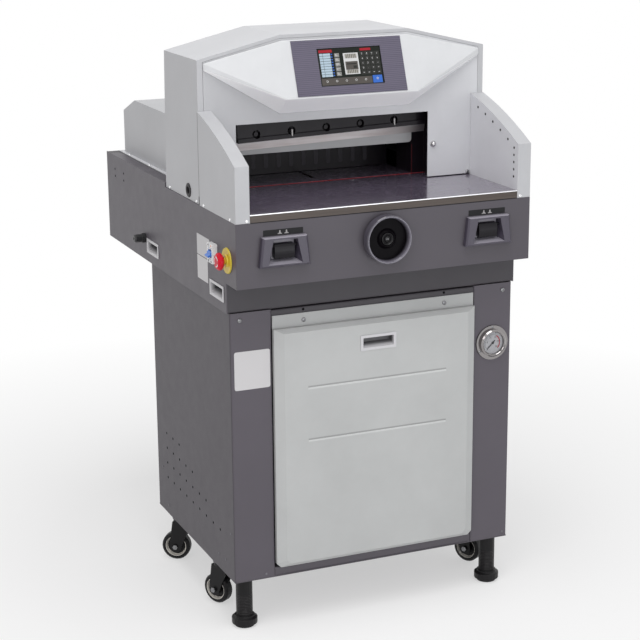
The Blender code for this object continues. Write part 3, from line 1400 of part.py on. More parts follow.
def build_table():
    """Steel table: wide in front, narrow between the columns, with a stick groove and a gauge slot."""
    wide_back = HOOD_FRONT_Y - SEAT
    rear = BODY_DEPTH - TABLE_REAR_MARGIN
    column_left = COLUMN_LEFT_X + SEAT
    column_right = COLUMN_RIGHT_X - SEAT
    guide_left = GUIDE_LEFT_X + SEAT
    guide_right = GUIDE_RIGHT_X - SEAT
    outline = [
        (-TABLE_FRONT_HALF, 0),
        (TABLE_FRONT_HALF, 0),
        (TABLE_FRONT_HALF, wide_back),
        (column_right, wide_back),
        (column_right, GUIDE_STEP_Y),
        (guide_right, GUIDE_STEP_Y),
        (guide_right, rear),
        (guide_left, rear),
        (guide_left, GUIDE_STEP_Y),
        (column_left, GUIDE_STEP_Y),
        (column_left, wide_back),
        (-TABLE_FRONT_HALF, wide_back),
    ]
    half_slot = TABLE_SLOT_WIDTH / 2
    slot_front = BACKGAUGE_FACE_Y - BACKGAUGE_FORWARD
    slot_back = BODY_DEPTH - BACKGAUGE_REAR_MARGIN
    slot = rectangle((SCREW_X - half_slot, slot_front), (SCREW_X + half_slot, slot_back))
    table = plate("main_table", [outline, slot], "plan", TABLE_BOTTOM_Z, TABLE_TOP_Z, "table_steel")
    stick_front = CUT_PLANE_Y - STICK_WIDTH * STICK_REAR_SHARE
    groove_low = (column_left - OVERRUN, stick_front - SEAT, TABLE_TOP_Z - STICK_DEPTH - SEAT)
    groove_high = (column_right + OVERRUN, stick_front + STICK_WIDTH + SEAT, TABLE_TOP_Z + OVERRUN)
    cut(table, box("stick_groove", groove_low, groove_high))
    stick_low = (column_left, stick_front, TABLE_TOP_Z - STICK_DEPTH)
    stick_high = (column_right, stick_front + STICK_WIDTH, TABLE_TOP_Z - SEAT)
    box("cutting_stick", stick_low, stick_high, "red_plastic")


def build_columns():
    """Frame columns; each steps inwards behind the knife to make a side guide for the paper."""
    outer = FLANGE_INNER_X - SEAT
    step = GUIDE_STEP_Y + SEAT
    inner_faces = {"left": (COLUMN_LEFT_X, GUIDE_LEFT_X), "right": (COLUMN_RIGHT_X, GUIDE_RIGHT_X)}
    for name, side in SIDES.items():
        column_x, guide_x = inner_faces[name]
        outline = [
            (side * outer, COLUMN_FRONT_Y),
            (column_x, COLUMN_FRONT_Y),
            (column_x, step),
            (guide_x, step),
            (guide_x, COLUMN_REAR_Y),
            (side * outer, COLUMN_REAR_Y),
        ]
        plate("side_column_" + name, [outline], "plan", BODY_FLOOR_Z + SEAT, COLUMN_TOP_Z, "black_paint")


# Knife, carrier, guide beam and clamp

KNIFE_TILT = math.radians(KNIFE_TILT_DEG)
KNIFE_LEFT_X = THROAT_LEFT_X + KNIFE_LEFT_REST
KNIFE_RIGHT_X = THROAT_RIGHT_X + KNIFE_RIGHT_REST
KNIFE_PIN_X = KNIFE_LEFT_X + KNIFE_PIN_INSET
KNIFE_PIN_Z = TABLE_TOP_Z + KNIFE_PIN_RISE
CARRIER_PIN_SPACING = KNIFE_RIGHT_X - CARRIER_PIN_INSET - KNIFE_PIN_X
KNIFE_DROP = KNIFE_PIN_Z - KNIFE_EDGE_BELOW_PIN - TABLE_TOP_Z
CARRIER_FACE = -(KNIFE_THICKNESS + SEAT + CARRIER_LIP)
CARRIER_MAIN_FACE = CARRIER_FACE + CARRIER_STEP
GUIDE_BEAM_BACK_Y = GUIDE_BEAM_FRONT_Y + GUIDE_BEAM_THICKNESS
GUIDE_BEAM_BOTTOM_Z = TABLE_TOP_Z + GUIDE_BEAM_RISE
CLAMP_BOTTOM_Z = TABLE_TOP_Z + CLAMP_OPENING


def build_guide_beam():
    """Beam between the columns, with one slot for the sliding shoe and one for the carrier's pin."""
    slot_radius = GUIDE_SHOE_RADIUS + GUIDE_SLOT_SIDE_GAP
    left_top = (KNIFE_PIN_X, KNIFE_PIN_Z)
    left_bottom = (KNIFE_PIN_X - KNIFE_SIDE_TRAVEL, KNIFE_PIN_Z - KNIFE_DROP)
    spread = CARRIER_PIN_SPACING
    right_top = (KNIFE_PIN_X + spread * math.cos(KNIFE_TILT), KNIFE_PIN_Z + spread * math.sin(KNIFE_TILT))
    right_bottom = (left_bottom[0] + spread, left_bottom[1])
    outline = rectangle(
        (COLUMN_LEFT_X + SEAT, GUIDE_BEAM_BOTTOM_Z), (COLUMN_RIGHT_X - SEAT, COLUMN_TOP_Z)
    )
    slots = [stadium(left_top, left_bottom, slot_radius, 8), stadium(right_top, right_bottom, slot_radius, 8)]
    plate("guide_beam", [outline] + slots, "front", GUIDE_BEAM_FRONT_Y, GUIDE_BEAM_BACK_Y, "black_paint")


def build_knife():
    """Knife and carrier, level in their own frame, hung on the shoe's pin by a tilted empty."""
    shoe_front = GUIDE_BEAM_FRONT_Y + SHEET
    face_y = CUT_PLANE_Y + CARRIER_MAIN_FACE
    shoe_profile = [
        (0, GUIDE_SHOE_PIN_LENGTH),
        (GUIDE_SHOE_PIN_RADIUS, GUIDE_SHOE_PIN_LENGTH),
        (GUIDE_SHOE_PIN_RADIUS, -SEAT),
        (GUIDE_SHOE_RADIUS, -SEAT),
        (GUIDE_SHOE_RADIUS, shoe_front - face_y),
        (0, shoe_front - face_y),
    ]
    turned("knife_slide_block", shoe_profile, "back", (KNIFE_PIN_X, face_y, KNIFE_PIN_Z), "steel", steps=20)

    pivot = add_empty("knife_pivot", (KNIFE_PIN_X, CUT_PLANE_Y, KNIFE_PIN_Z), MACHINE, (0, -KNIFE_TILT, 0))
    left = KNIFE_LEFT_X - KNIFE_PIN_X
    right = KNIFE_RIGHT_X - KNIFE_PIN_X
    edge = -KNIFE_EDGE_BELOW_PIN
    blade_top = edge + KNIFE_HEIGHT
    blade = [
        (0, edge),
        (0, blade_top),
        (-KNIFE_THICKNESS, blade_top),
        (-KNIFE_THICKNESS, edge + KNIFE_BEVEL_HEIGHT),
        (-KNIFE_EDGE_LAND, edge),
    ]
    plate("knife", [blade], "side", left, right, "blade_steel", pivot)

    seat_back = -KNIFE_THICKNESS - SEAT
    ledge = edge + KNIFE_FACE_REVEAL
    section = [
        (seat_back, ledge),
        (seat_back, blade_top + SEAT),
        (0, blade_top + SEAT),
        (0, CARRIER_CAP),
        (CARRIER_MAIN_FACE, CARRIER_CAP),
        (CARRIER_MAIN_FACE, ledge + CARRIER_STEP_HEIGHT),
        (CARRIER_FACE, ledge + CARRIER_STEP_HEIGHT),
        (CARRIER_FACE, ledge),
    ]
    carrier = plate("knife_carrier", [section], "side", left, right, "black_paint", pivot)
    bore_length = 2 * (GUIDE_SHOE_PIN_LENGTH + SEAT)
    bore_radius = GUIDE_SHOE_PIN_RADIUS + SEAT
    cut(carrier, rod("shoe_bore", "back", (0, CARRIER_MAIN_FACE, 0), bore_length, bore_radius, parent=pivot))
    boss_front = GUIDE_BEAM_FRONT_Y + SHEET - CUT_PLANE_Y
    boss_back = CARRIER_MAIN_FACE + SINK
    boss_centre = (CARRIER_PIN_SPACING, (boss_front + boss_back) / 2, 0)
    boss_length = boss_back - boss_front
    boss = rod("guide_pin", "back", boss_centre, boss_length, GUIDE_SHOE_RADIUS, parent=pivot, steps=20)
    fuse(carrier, boss)
    pocket_z = ledge + CARRIER_POCKET_RISE
    places = spread_evenly(left + CARRIER_POCKET_FIRST, right - CARRIER_POCKET_LAST, CARRIER_POCKET_COUNT)
    pocket_length = 2 * CARRIER_POCKET_DEPTH
    pockets = rod_cluster(
        "bolt_pockets", "back", [(place, CARRIER_MAIN_FACE, pocket_z) for place in places],
        pocket_length, CARRIER_POCKET_RADIUS, 14,
    )
    bolt_front = CARRIER_MAIN_FACE + CARRIER_BOLT_SINK
    bolt_back = CARRIER_MAIN_FACE + CARRIER_POCKET_DEPTH + SINK
    bolts = rod_cluster(
        "knife_bolts", "back", [(place, (bolt_front + bolt_back) / 2, pocket_z) for place in places],
        bolt_back - bolt_front, CARRIER_BOLT_RADIUS, 6,
    )
    adjuster_y = CARRIER_MAIN_FACE - ADJUSTER_RADIUS / 2
    adjusters = rod_cluster(
        "knife_adjusters", "up",
        [(places[index], adjuster_y, ledge + ADJUSTER_LENGTH / 2) for index in ADJUSTER_POCKETS],
        ADJUSTER_LENGTH, ADJUSTER_RADIUS, 8,
    )
    for tool in (pockets, bolts, adjusters):
        tool.parent = pivot
    cut(carrier, pockets)
    fuse(carrier, bolts, adjusters)


def build_clamp():
    """Pressing beam behind the knife, with rounded lower corners, and its two lifting rods."""
    left = GUIDE_LEFT_X + CLAMP_END_GAP
    right = GUIDE_RIGHT_X - CLAMP_END_GAP
    top = CLAMP_BOTTOM_Z + CLAMP_HEIGHT
    front = CUT_PLANE_Y + CLAMP_FRONT_GAP
    corner_z = CLAMP_BOTTOM_Z + CLAMP_CORNER
    outline = arc((right - CLAMP_CORNER, corner_z), CLAMP_CORNER, -math.pi / 2, 0, 4)
    outline += [(right, top), (left, top)]
    outline += arc((left + CLAMP_CORNER, corner_z), CLAMP_CORNER, math.pi, 1.5 * math.pi, 4)
    clamp = plate("clamp_beam", [outline], "front", front, front + CLAMP_THICKNESS, "clamp_paint")
    rod_z = top + CLAMP_ROD_RISE / 2 - SINK
    rod_y = front + CLAMP_THICKNESS / 2
    for index, across in enumerate((left + CLAMP_ROD_INSET, right - CLAMP_ROD_INSET)):
        fuse(clamp, rod(f"clamp_rod_{index}", "up", (across, rod_y, rod_z), CLAMP_ROD_RISE, CLAMP_ROD_RADIUS))


# Backgauge, its leadscrew and the cradle that the screw turns in

def build_screw_cradle():
    """Rail along the floor of the body with a bearing pedestal at each end."""
    bottom = BODY_FLOOR_Z + SEAT
    left = SCREW_X - CRADLE_WIDTH / 2
    right = SCREW_X + CRADLE_WIDTH / 2
    rear = PEDESTAL_REAR_Y + PEDESTAL_THICKNESS
    section = [
        (PEDESTAL_FRONT_Y, bottom),
        (rear, bottom),
        (rear, BODY_TOP_Z),
        (PEDESTAL_REAR_Y, BODY_TOP_Z),
        (PEDESTAL_REAR_Y, bottom + CRADLE_THICKNESS),
        (PEDESTAL_FRONT_Y + PEDESTAL_THICKNESS, bottom + CRADLE_THICKNESS),
        (PEDESTAL_FRONT_Y + PEDESTAL_THICKNESS, BODY_TOP_Z),
        (PEDESTAL_FRONT_Y, BODY_TOP_Z),
    ]
    cradle = plate("screw_cradle", [section], "side", left, right, "dark_paint")
    middle = (PEDESTAL_FRONT_Y + rear) / 2
    bore_length = rear - PEDESTAL_FRONT_Y + OVERRUN
    cut(cradle, rod("screw_bearings", "back", (SCREW_X, middle, SCREW_Z), bore_length, SCREW_RADIUS + SEAT))


def build_backgauge():
    """Slotted face on a foot that slides on the table; a fin reaches through to the screw's nut."""
    left = GUIDE_LEFT_X + BACKGAUGE_END_GAP
    right = GUIDE_RIGHT_X - BACKGAUGE_END_GAP
    bottom = TABLE_TOP_Z + BACKGAUGE_LIFT
    top = bottom + BACKGAUGE_HEIGHT
    face = BACKGAUGE_FACE_Y
    back = face + BACKGAUGE_FOOT_DEPTH
    section = [
        (face, bottom),
        (back, bottom),
        (back, bottom + BACKGAUGE_FOOT_HEIGHT),
        (face + BACKGAUGE_THICKNESS, bottom + BACKGAUGE_FOOT_HEIGHT),
        (face + BACKGAUGE_THICKNESS, top),
        (face, top),
    ]
    gauge = plate("backgauge", [section], "side", left, right, "black_paint")
    slots = []
    first = left + BACKGAUGE_SLOT_FIRST
    for across in spread_evenly(first, right - BACKGAUGE_SLOT_LAST, BACKGAUGE_SLOT_COUNT):
        floor = (across, bottom + BACKGAUGE_SLOT_FLOOR)
        slots.append(stadium((across, top + OVERRUN), floor, BACKGAUGE_SLOT_WIDTH / 2, 3))
    cut(gauge, plate("gauge_slots", slots, "front", face - OVERRUN, face + BACKGAUGE_SLOT_DEPTH))
    half_fin = BACKGAUGE_FIN_WIDTH / 2
    nut_top = SCREW_Z + NUT_HEIGHT / 2
    fin_low = (SCREW_X - half_fin, face + SINK, nut_top - SINK)
    fuse(gauge, box("gauge_fin", fin_low, (SCREW_X + half_fin, back - SINK, bottom + SINK)))
    half_nut = NUT_WIDTH / 2
    nut_low = (SCREW_X - half_nut, face + SINK, SCREW_Z - NUT_HEIGHT / 2)
    fuse(gauge, box("gauge_nut", nut_low, (SCREW_X + half_nut, back - SINK, nut_top)))
    bore_centre = (SCREW_X, (face + back) / 2, SCREW_Z)
    bore_length = BACKGAUGE_FOOT_DEPTH + OVERRUN
    cut(gauge, rod("nut_bore", "back", bore_centre, bore_length, SCREW_RADIUS + SEAT))


def build_leadscrew():
    """Screw in the cradle's two pedestals, with a belt pulley on its front end."""
    length = PEDESTAL_REAR_Y + PEDESTAL_THICKNESS - SCREW_FRONT_Y
    profile = [
        (0, length),
        (SCREW_RADIUS, length),
        (SCREW_RADIUS, SCREW_PULLEY_LENGTH),
        (SCREW_PULLEY_RADIUS, SCREW_PULLEY_LENGTH),
        (SCREW_PULLEY_RADIUS, 0),
        (0, 0),
    ]
    turned("leadscrew", profile, "back", (SCREW_X, SCREW_FRONT_Y, SCREW_Z), "steel", steps=16)


# Hood

def hood_back(level):
    """The hood's rear edge leans forwards as it rises."""
    return HOOD_BACK_Y - HOOD_LEAN * (level - TABLE_BOTTOM_Z) / (HOOD_TOP_Z - TABLE_BOTTOM_Z)


def hood_outline(bottom):
    return [
        (-HOOD_HALF, bottom),
        (HOOD_HALF, bottom),
        (HOOD_HALF, HOOD_SHOULDER_Z),
        (HOOD_TOP_HALF, HOOD_TOP_Z),
        (-HOOD_TOP_HALF, HOOD_TOP_Z),
        (-HOOD_HALF, HOOD_SHOULDER_Z),
    ]


def hood_flange(extra):
    """Inset of the front flange's inner edge from the hood's outline, edge by edge."""
    side = HOOD_FLANGE + extra
    top = HOOD_TOP_FLANGE + extra
    return (0, side, top, top, top, side)


def build_hood():
    """Folded shell: two sides, a three-sided roof, a front flange and a rear wall above its exit."""
    outline = hood_outline(TABLE_BOTTOM_Z)
    hood = loft(
        "hood_shell",
        [
            [(across, HOOD_FRONT_Y, up) for across, up in outline],
            [(across, hood_back(up), up) for across, up in outline],
        ],
        "light_paint",
    )
    low_outline = hood_outline(TABLE_BOTTOM_Z - OVERRUN)
    hollow = inset(low_outline, (0,) + (SHEET,) * 5)
    cavity = loft(
        "hood_cavity",
        [
            [(across, HOOD_FRONT_Y + SHEET, up) for across, up in hollow],
            [(across, hood_back(up) - SHEET, up) for across, up in hollow],
        ],
    )
    mouth = inset(low_outline, hood_flange(0))
    mouth_cutter = plate("hood_mouth", [mouth], "front", HOOD_FRONT_Y - OVERRUN, HOOD_FRONT_Y + OVERRUN)
    exit_reach = HOUSING_HALF - SHEET
    exit_low = (-exit_reach, HOOD_BACK_Y - HOOD_LEAN - OVERRUN, TABLE_BOTTOM_Z - OVERRUN)
    exit_high = (exit_reach, HOOD_BACK_Y + OVERRUN, TABLE_BOTTOM_Z + HOOD_EXIT_HEIGHT)
    port_centre = (-HOOD_HALF, HOOD_PORT_Y, TABLE_BOTTOM_Z + HOOD_PORT_RISE)
    port = rod("hood_port", "left", port_centre, OVERRUN, HOOD_PORT_RADIUS)
    cut(hood, cavity, mouth_cutter, box("hood_exit", exit_low, exit_high), port)


def build_front_plate():
    """Flat front of the hood, set inside its flange, with the throat open at its lower edge."""
    bottom = TABLE_TOP_Z + FRONT_PLATE_RISE
    edge = inset(hood_outline(bottom), hood_flange(FRONT_PLATE_SEAM))
    throat = [
        (THROAT_LEFT_X, bottom),
        (THROAT_LEFT_X, THROAT_TOP_Z),
        (THROAT_RIGHT_X, THROAT_TOP_Z),
        (THROAT_RIGHT_X, bottom),
    ]
    outline = [edge[0]] + throat + edge[1:]
    plate("hood_front_plate", [outline], "front", HOOD_FRONT_Y, HOOD_FRONT_Y + SHEET, "light_paint")


# Rear housing

def housing_section(wall, bottom):
    """Side profile of the housing, drawn in by a wall on its roof and back."""
    rear = BODY_DEPTH - HOUSING_REAR_MARGIN
    roof = DECK_TOP_Z + HOUSING_HEIGHT - wall
    front = HOOD_BACK_Y + SEAT
    return [
        (front, bottom),
        (rear - wall, bottom),
        (rear - wall, roof - HOUSING_CHAMFER_DROP),
        (rear - HOUSING_CHAMFER_RUN - wall / 2, roof),
        (hood_back(roof) + SEAT, roof),
    ]


def build_rear_housing():
    """Sheet cover over the backgauge, open in front and below, with a foot flange on the deck."""
    bottom = DECK_TOP_Z + SEAT
    housing = plate(
        "rear_housing", [housing_section(0, bottom)], "side", -HOUSING_HALF, HOUSING_HALF, "light_paint"
    )
    foot_reach = HOUSING_HALF + HOUSING_FOOT
    foot_front = DECK_START_Y + BODY_SHEET
    foot_back = BODY_DEPTH - HOUSING_REAR_MARGIN + HOUSING_FOOT_REAR
    foot_low = (-foot_reach, foot_front, bottom)
    fuse(housing, box("housing_foot", foot_low, (foot_reach, foot_back, bottom + SHEET)))
    inner = housing_section(SHEET, bottom - OVERRUN)
    inner[0] = (inner[0][0] - HOOD_DEPTH, inner[0][1])
    inner[-1] = (inner[-1][0] - HOOD_DEPTH, inner[-1][1])
    reach = HOUSING_HALF - SHEET
    cut(housing, plate("housing_cavity", [inner], "side", -reach, reach))


# Safety wings

WING_BACK_Y = HOOD_FRONT_Y - SEAT
WING_CHORD = math.hypot(WING_BACK_Y, WING_REAR_HEIGHT - WING_FRONT_HEIGHT)
WING_BOW = WING_CHORD ** 2 / (8 * WING_ARC_RADIUS)


def wing_top(along):
    """Height of the wing's arched top over a place along it."""
    share = along / WING_BACK_Y
    chord_height = WING_FRONT_HEIGHT + (WING_REAR_HEIGHT - WING_FRONT_HEIGHT) * share
    return TABLE_BOTTOM_Z + chord_height + 4 * WING_BOW * share * (1 - share)


def build_wings():
    """Hollow wings with a light-barrier row under the arch and down the front of the inner face."""
    along = [WING_BACK_Y * index / WING_ARC_STEPS for index in range(WING_ARC_STEPS + 1)]
    outline = [(WING_BACK_Y, TABLE_BOTTOM_Z)]
    outline += [(place, wing_top(place)) for place in reversed(along)]
    outline += [(0, TABLE_BOTTOM_Z)]
    open_below = [(place, level - (OVERRUN if level == TABLE_BOTTOM_Z else 0)) for place, level in outline]
    hollow = inset(open_below, (SHEET,) * (len(outline) - 1) + (0,))
    row = [BEAM_HOLE_ROW_START + index * BEAM_HOLE_PITCH_Y for index in range(BEAM_HOLE_ROW)]
    holes = [(place, wing_top(place) - BEAM_HOLE_MARGIN) for place in row]
    column_top = TABLE_BOTTOM_Z + WING_FRONT_HEIGHT - BEAM_HOLE_TOP_DROP
    holes += [(BEAM_HOLE_MARGIN, column_top - index * BEAM_HOLE_PITCH_Z) for index in range(BEAM_HOLE_COLUMN)]
    for name, side in SIDES.items():
        inner = side * WING_INNER_X
        outer = side * HALF_WIDTH
        wing = plate("wing_" + name, [outline], "side", inner, outer, "light_paint")
        cavity = plate("wing_cavity_" + name, [hollow], "side", inner + side * SHEET, outer - side * SHEET)
        centres = [(inner, place, level) for place, level in holes]
        beams = rod_cluster("beam_holes_" + name, "left", centres, OVERRUN, BEAM_HOLE_RADIUS, 8)
        cut(wing, cavity, beams)


# Console

CONSOLE_BASE_Z = TABLE_TOP_Z + CONSOLE_BASE_RISE
CONSOLE_FACE_BOTTOM_Z = TABLE_TOP_Z + CONSOLE_FACE_RISE
CONSOLE_TIP_Z = TABLE_TOP_Z + CONSOLE_TIP_RISE
CONSOLE_FACE_TOP_Z = HOOD_TOP_Z - CONSOLE_FACE_TOP_DROP
CONSOLE_BACK_Y = HOOD_FRONT_Y - SEAT
CONSOLE_FACE_BOTTOM_Y = HOOD_FRONT_Y - CONSOLE_REACH
CONSOLE_FACE_TOP_Y = HOOD_FRONT_Y - CONSOLE_TOP_REACH
CONSOLE_TIP_HALF = HALF_WIDTH - CONSOLE_TIP_INSET


def console_half(depths):
    """Right half of a section: lower corner, tip's lower and upper end, upper corner."""
    lower, tip, upper = depths
    base = lower == CONSOLE_BACK_Y
    bottom_half = CONSOLE_BASE_HALF if base else CONSOLE_FACE_BOTTOM_HALF
    bottom_z = CONSOLE_BASE_Z if base else CONSOLE_FACE_BOTTOM_Z
    return [
        (bottom_half, lower, bottom_z),
        (CONSOLE_TIP_HALF, tip, CONSOLE_TIP_Z),
        (CONSOLE_TIP_HALF, tip, CONSOLE_TIP_Z + CONSOLE_TIP_HEIGHT),
        (CONSOLE_FACE_TOP_HALF, upper, CONSOLE_FACE_TOP_Z),
    ]


def build_console():
    """Faceted fairing on the hood: a raked face between two wings that run out to points."""
    tip_y = HOOD_FRONT_Y - CONSOLE_TIP_REACH
    base = console_half((CONSOLE_BACK_Y,) * 3)
    face = console_half((CONSOLE_FACE_BOTTOM_Y, tip_y, CONSOLE_FACE_TOP_Y))
    build_mesh = bmesh.new()
    base_right = [build_mesh.verts.new(point) for point in base]
    base_left = [build_mesh.verts.new(point) for point in mirrored(base)]
    face_right = [build_mesh.verts.new(point) for point in face]
    face_left = [build_mesh.verts.new(point) for point in mirrored(face)]
    for lower, upper in ((base_right, face_right), (base_left, face_left)):
        for index in range(len(lower) - 1):
            build_mesh.faces.new((lower[index], lower[index + 1], upper[index + 1], upper[index]))
        build_mesh.faces.new((upper[0], upper[1], upper[2]))
        build_mesh.faces.new((upper[0], upper[2], upper[3]))
    build_mesh.faces.new((face_right[0], face_right[3], face_left[3], face_left[0]))
    build_mesh.faces.new((base_right[0], face_right[0], face_left[0], base_left[0]))
    build_mesh.faces.new((base_right[3], face_right[3], face_left[3], base_left[3]))
    build_mesh.faces.new(base_right + base_left[::-1])
    fairing = mesh_from(build_mesh, "console_fairing")
    console = add_object("console_fairing", fairing, "light_paint", None, (0, 0, 0))
    ease(console, CONSOLE_ROUNDING)
    rake = math.atan2(CONSOLE_FACE_TOP_Y - CONSOLE_FACE_BOTTOM_Y, CONSOLE_FACE_TOP_Z - CONSOLE_FACE_BOTTOM_Z)
    middle = (
        0, (CONSOLE_FACE_TOP_Y + CONSOLE_FACE_BOTTOM_Y) / 2, (CONSOLE_FACE_TOP_Z + CONSOLE_FACE_BOTTOM_Z) / 2
    )
    frame = add_empty("console_face", middle, MACHINE, (-rake, 0, 0))
    half_width = SCREEN_WIDTH / 2
    half_height = SCREEN_HEIGHT / 2
    back = SCREEN_DROP + SCREEN_THICKNESS
    pocket_low = (SCREEN_SHIFT - half_width - SEAT, -OVERRUN, -half_height - SEAT)
    pocket_high = (SCREEN_SHIFT + half_width + SEAT, back + SEAT, half_height + SEAT)
    cut(console, box("screen_pocket", pocket_low, pocket_high, parent=frame))
    screen_low = (SCREEN_SHIFT - half_width, SCREEN_DROP, -half_height)
    screen_high = (SCREEN_SHIFT + half_width, back, half_height)
    box("touch_screen", screen_low, screen_high, "screen", frame)
    outline = rectangle((-BEZEL_WIDTH / 2, -BEZEL_HEIGHT / 2), (BEZEL_WIDTH / 2, BEZEL_HEIGHT / 2))
    window = rectangle(
        (SCREEN_SHIFT + SCREEN_FRAME - half_width, SCREEN_FRAME - half_height),
        (SCREEN_SHIFT + half_width - SCREEN_FRAME, half_height - SCREEN_FRAME),
    )
    front = -SEAT - BEZEL_THICKNESS
    plate("control_bezel", [outline, window], "front", front, -SEAT, "bezel", frame)


build_stand_sides()
build_stand_rear()
build_stand_base()
build_stand_rail()
build_front_cover()
build_feet()
build_casters()
build_hydraulic_unit()
build_body_tray()
build_body_sides()
build_front_fascia()
build_cable_gland()
build_breaker()
build_emergency_stop()
for paddle_name, paddle_side in SIDES.items():
    build_paddle(paddle_name, paddle_side)
build_handwheel()
build_gauge()
build_table()
build_columns()
build_guide_beam()
build_knife()
build_clamp()
build_screw_cradle()
build_backgauge()
build_leadscrew()
build_hood()
build_front_plate()
build_rear_housing()
build_wings()
build_console()
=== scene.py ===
"""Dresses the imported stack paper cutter: finishes, small fasteners, panel markings, stage and camera.

Lengths are in metres. Most pieces are placed in the machine's own frame, with X from the middle of
the front panel, Y from its front face to the rear and Z up from the floor; place() turns that into
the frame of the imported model.
"""
import json
import math

import bmesh
import bpy
from mathutils import Color, Matrix, Vector


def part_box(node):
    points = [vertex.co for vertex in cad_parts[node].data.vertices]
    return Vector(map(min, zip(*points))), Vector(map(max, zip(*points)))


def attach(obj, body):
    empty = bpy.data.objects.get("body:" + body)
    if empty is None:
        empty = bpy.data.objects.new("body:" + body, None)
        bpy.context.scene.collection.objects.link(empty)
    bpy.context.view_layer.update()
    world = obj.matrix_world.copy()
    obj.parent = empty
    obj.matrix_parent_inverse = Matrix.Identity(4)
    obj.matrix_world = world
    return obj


bl_info = {
    "name": "Stack Paper Cutter Dressing",
    "version": (1, 0, 0),
    "blender": (4, 5, 0),
    "location": "View3D > Sidebar > Paper Cutter",
    "description": "Gives a stack paper cutter its finishes, fasteners, markings, stage and camera",
    "category": "Object",
}

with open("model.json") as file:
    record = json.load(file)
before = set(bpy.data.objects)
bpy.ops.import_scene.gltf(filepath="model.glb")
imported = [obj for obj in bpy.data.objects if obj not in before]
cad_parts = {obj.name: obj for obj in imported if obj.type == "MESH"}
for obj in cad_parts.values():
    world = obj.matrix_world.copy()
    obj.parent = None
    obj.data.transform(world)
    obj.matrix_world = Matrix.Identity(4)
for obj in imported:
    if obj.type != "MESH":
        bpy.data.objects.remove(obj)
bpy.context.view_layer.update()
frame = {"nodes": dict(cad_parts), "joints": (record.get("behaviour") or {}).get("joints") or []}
# The machine's own frame, read from its front panel
PANEL_LOW, PANEL_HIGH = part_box("front_fascia")
ORIGIN = Vector(((PANEL_LOW.x + PANEL_HIGH.x) / 2, PANEL_LOW.y, 0))

FRONT = (0, -1, 0)
REAR = (0, 1, 0)
LEFT = (-1, 0, 0)
RIGHT = (1, 0, 0)
TOP = (0, 0, 1)
SIDES = (("left", -1), ("right", 1))
CORNERS = ("front_left", "rear_left", "front_right", "rear_right")

# Faces of the machine that small pieces sit on, measured in its own frame
BODY_SIDE = 0.370
HOOD_SIDE = 0.368
STAND_SIDE = 0.364
PILLAR_FRONT = 0.0685
HOOD_FRONT = 0.239
SCREW_LEVEL = 1.0105
PADDLE_MIDDLES = (("left", -0.2575), ("right", 0.2555))
# Lenses of the light barrier on the inner faces of the wings, along and up
BARRIER_SPOTS = (
    (0.050, 1.1379), (0.0875, 1.1542), (0.125, 1.1690), (0.1625, 1.1822), (0.200, 1.1938),
    (0.0195, 1.122), (0.0195, 1.105), (0.0195, 1.088), (0.0195, 1.071), (0.0195, 1.054),
)
# Levels of the service cover's two creases
CREASES = (0.5920, 0.4630)
# Thickness of printed and engraved marks
PRINT = 0.0002
# The point that the lamps look at
MIDDLE = Vector((0.0, 0.0, 1.0))


def place(across, along=0.0, up=0.0):
    """A point of the machine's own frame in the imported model's frame."""
    return ORIGIN + Vector((across, along, up))


# Settings

def colour_property(name, description, default):
    return bpy.props.FloatVectorProperty(
        name=name, description=description, subtype="COLOR", size=3, min=0.0, max=1.0, default=default
    )


def power_property(name, description, default):
    return bpy.props.FloatProperty(name=name, description=description, subtype="POWER", default=default)


class PaintSettings(bpy.types.PropertyGroup):
    light: colour_property("Hood paint", "Powder coat of the hood and the wings", (0.482, 0.487, 0.505))
    # The console's paint is the hood's paint made lighter: painted light
    console: colour_property("Console paint", "Lighter coat of the console fairing", (0.63, 0.64, 0.655))
    cover: colour_property("Cover paint", "Powder coat of the service cover", (0.475, 0.484, 0.482))
    dark: colour_property("Body paint", "Powder coat of the stand and the body", (0.083, 0.0745, 0.089))
    grain: bpy.props.FloatProperty(
        name="Paint grain", description="Size of the powder coat's texture",
        unit="LENGTH", min=0.0002, max=0.01, default=0.0014,
    )
    edge_radius: bpy.props.FloatProperty(
        name="Edge radius", description="Rounding that light finds on folded and cut edges",
        unit="LENGTH", min=0.0, max=0.005, default=0.0009,
    )


class MetalSettings(bpy.types.PropertyGroup):
    table: colour_property("Table steel", "Polished steel of the table", (0.150, 0.124, 0.176))
    blade: colour_property("Blade steel", "Ground steel of the knife", (0.95, 0.92, 0.90))
    zinc: colour_property("Zinc", "Plated screws and rivets", (0.27, 0.27, 0.28))
    chrome: colour_property("Chrome", "Bright knob and screws", (0.56, 0.55, 0.56))


class PlasticSettings(bpy.types.PropertyGroup):
    housing: colour_property("Control plastic", "Paddle housings", (0.060, 0.052, 0.075))
    pull: colour_property("Pull plastic", "Flush pulls", (0.60, 0.595, 0.615))
    red: colour_property("Stop red", "Mushroom head of the emergency stop", (0.60, 0.004, 0.022))
    yellow: colour_property("Stop yellow", "Plate of the emergency stop", (0.68, 0.53, 0.03))
    blue: colour_property("Breaker blue", "Handle of the breaker", (0.05, 0.19, 0.66))


class StageSettings(bpy.types.PropertyGroup):
    floor: colour_property("Floor", "Floor of the stage", (0.90, 0.90, 0.90))
    key: power_property("Key light", "Power of the large lamp over the front", 78.0)
    left: power_property("Left light", "Power of the lamp on the left", 28.0)
    front: power_property("Front light", "Power of the low lamp in front", 25.0)
    world: bpy.props.FloatProperty(
        name="World light", description="Strength of the even light from all sides",
        min=0.0, max=2.0, default=0.49,
    )
    lens: bpy.props.FloatProperty(
        name="Lens", description="Focal length of the camera in millimetres",
        min=10.0, max=300.0, default=97.75,
    )


def settings(name):
    return getattr(bpy.context.scene, "cutter_" + name)


# Shader building

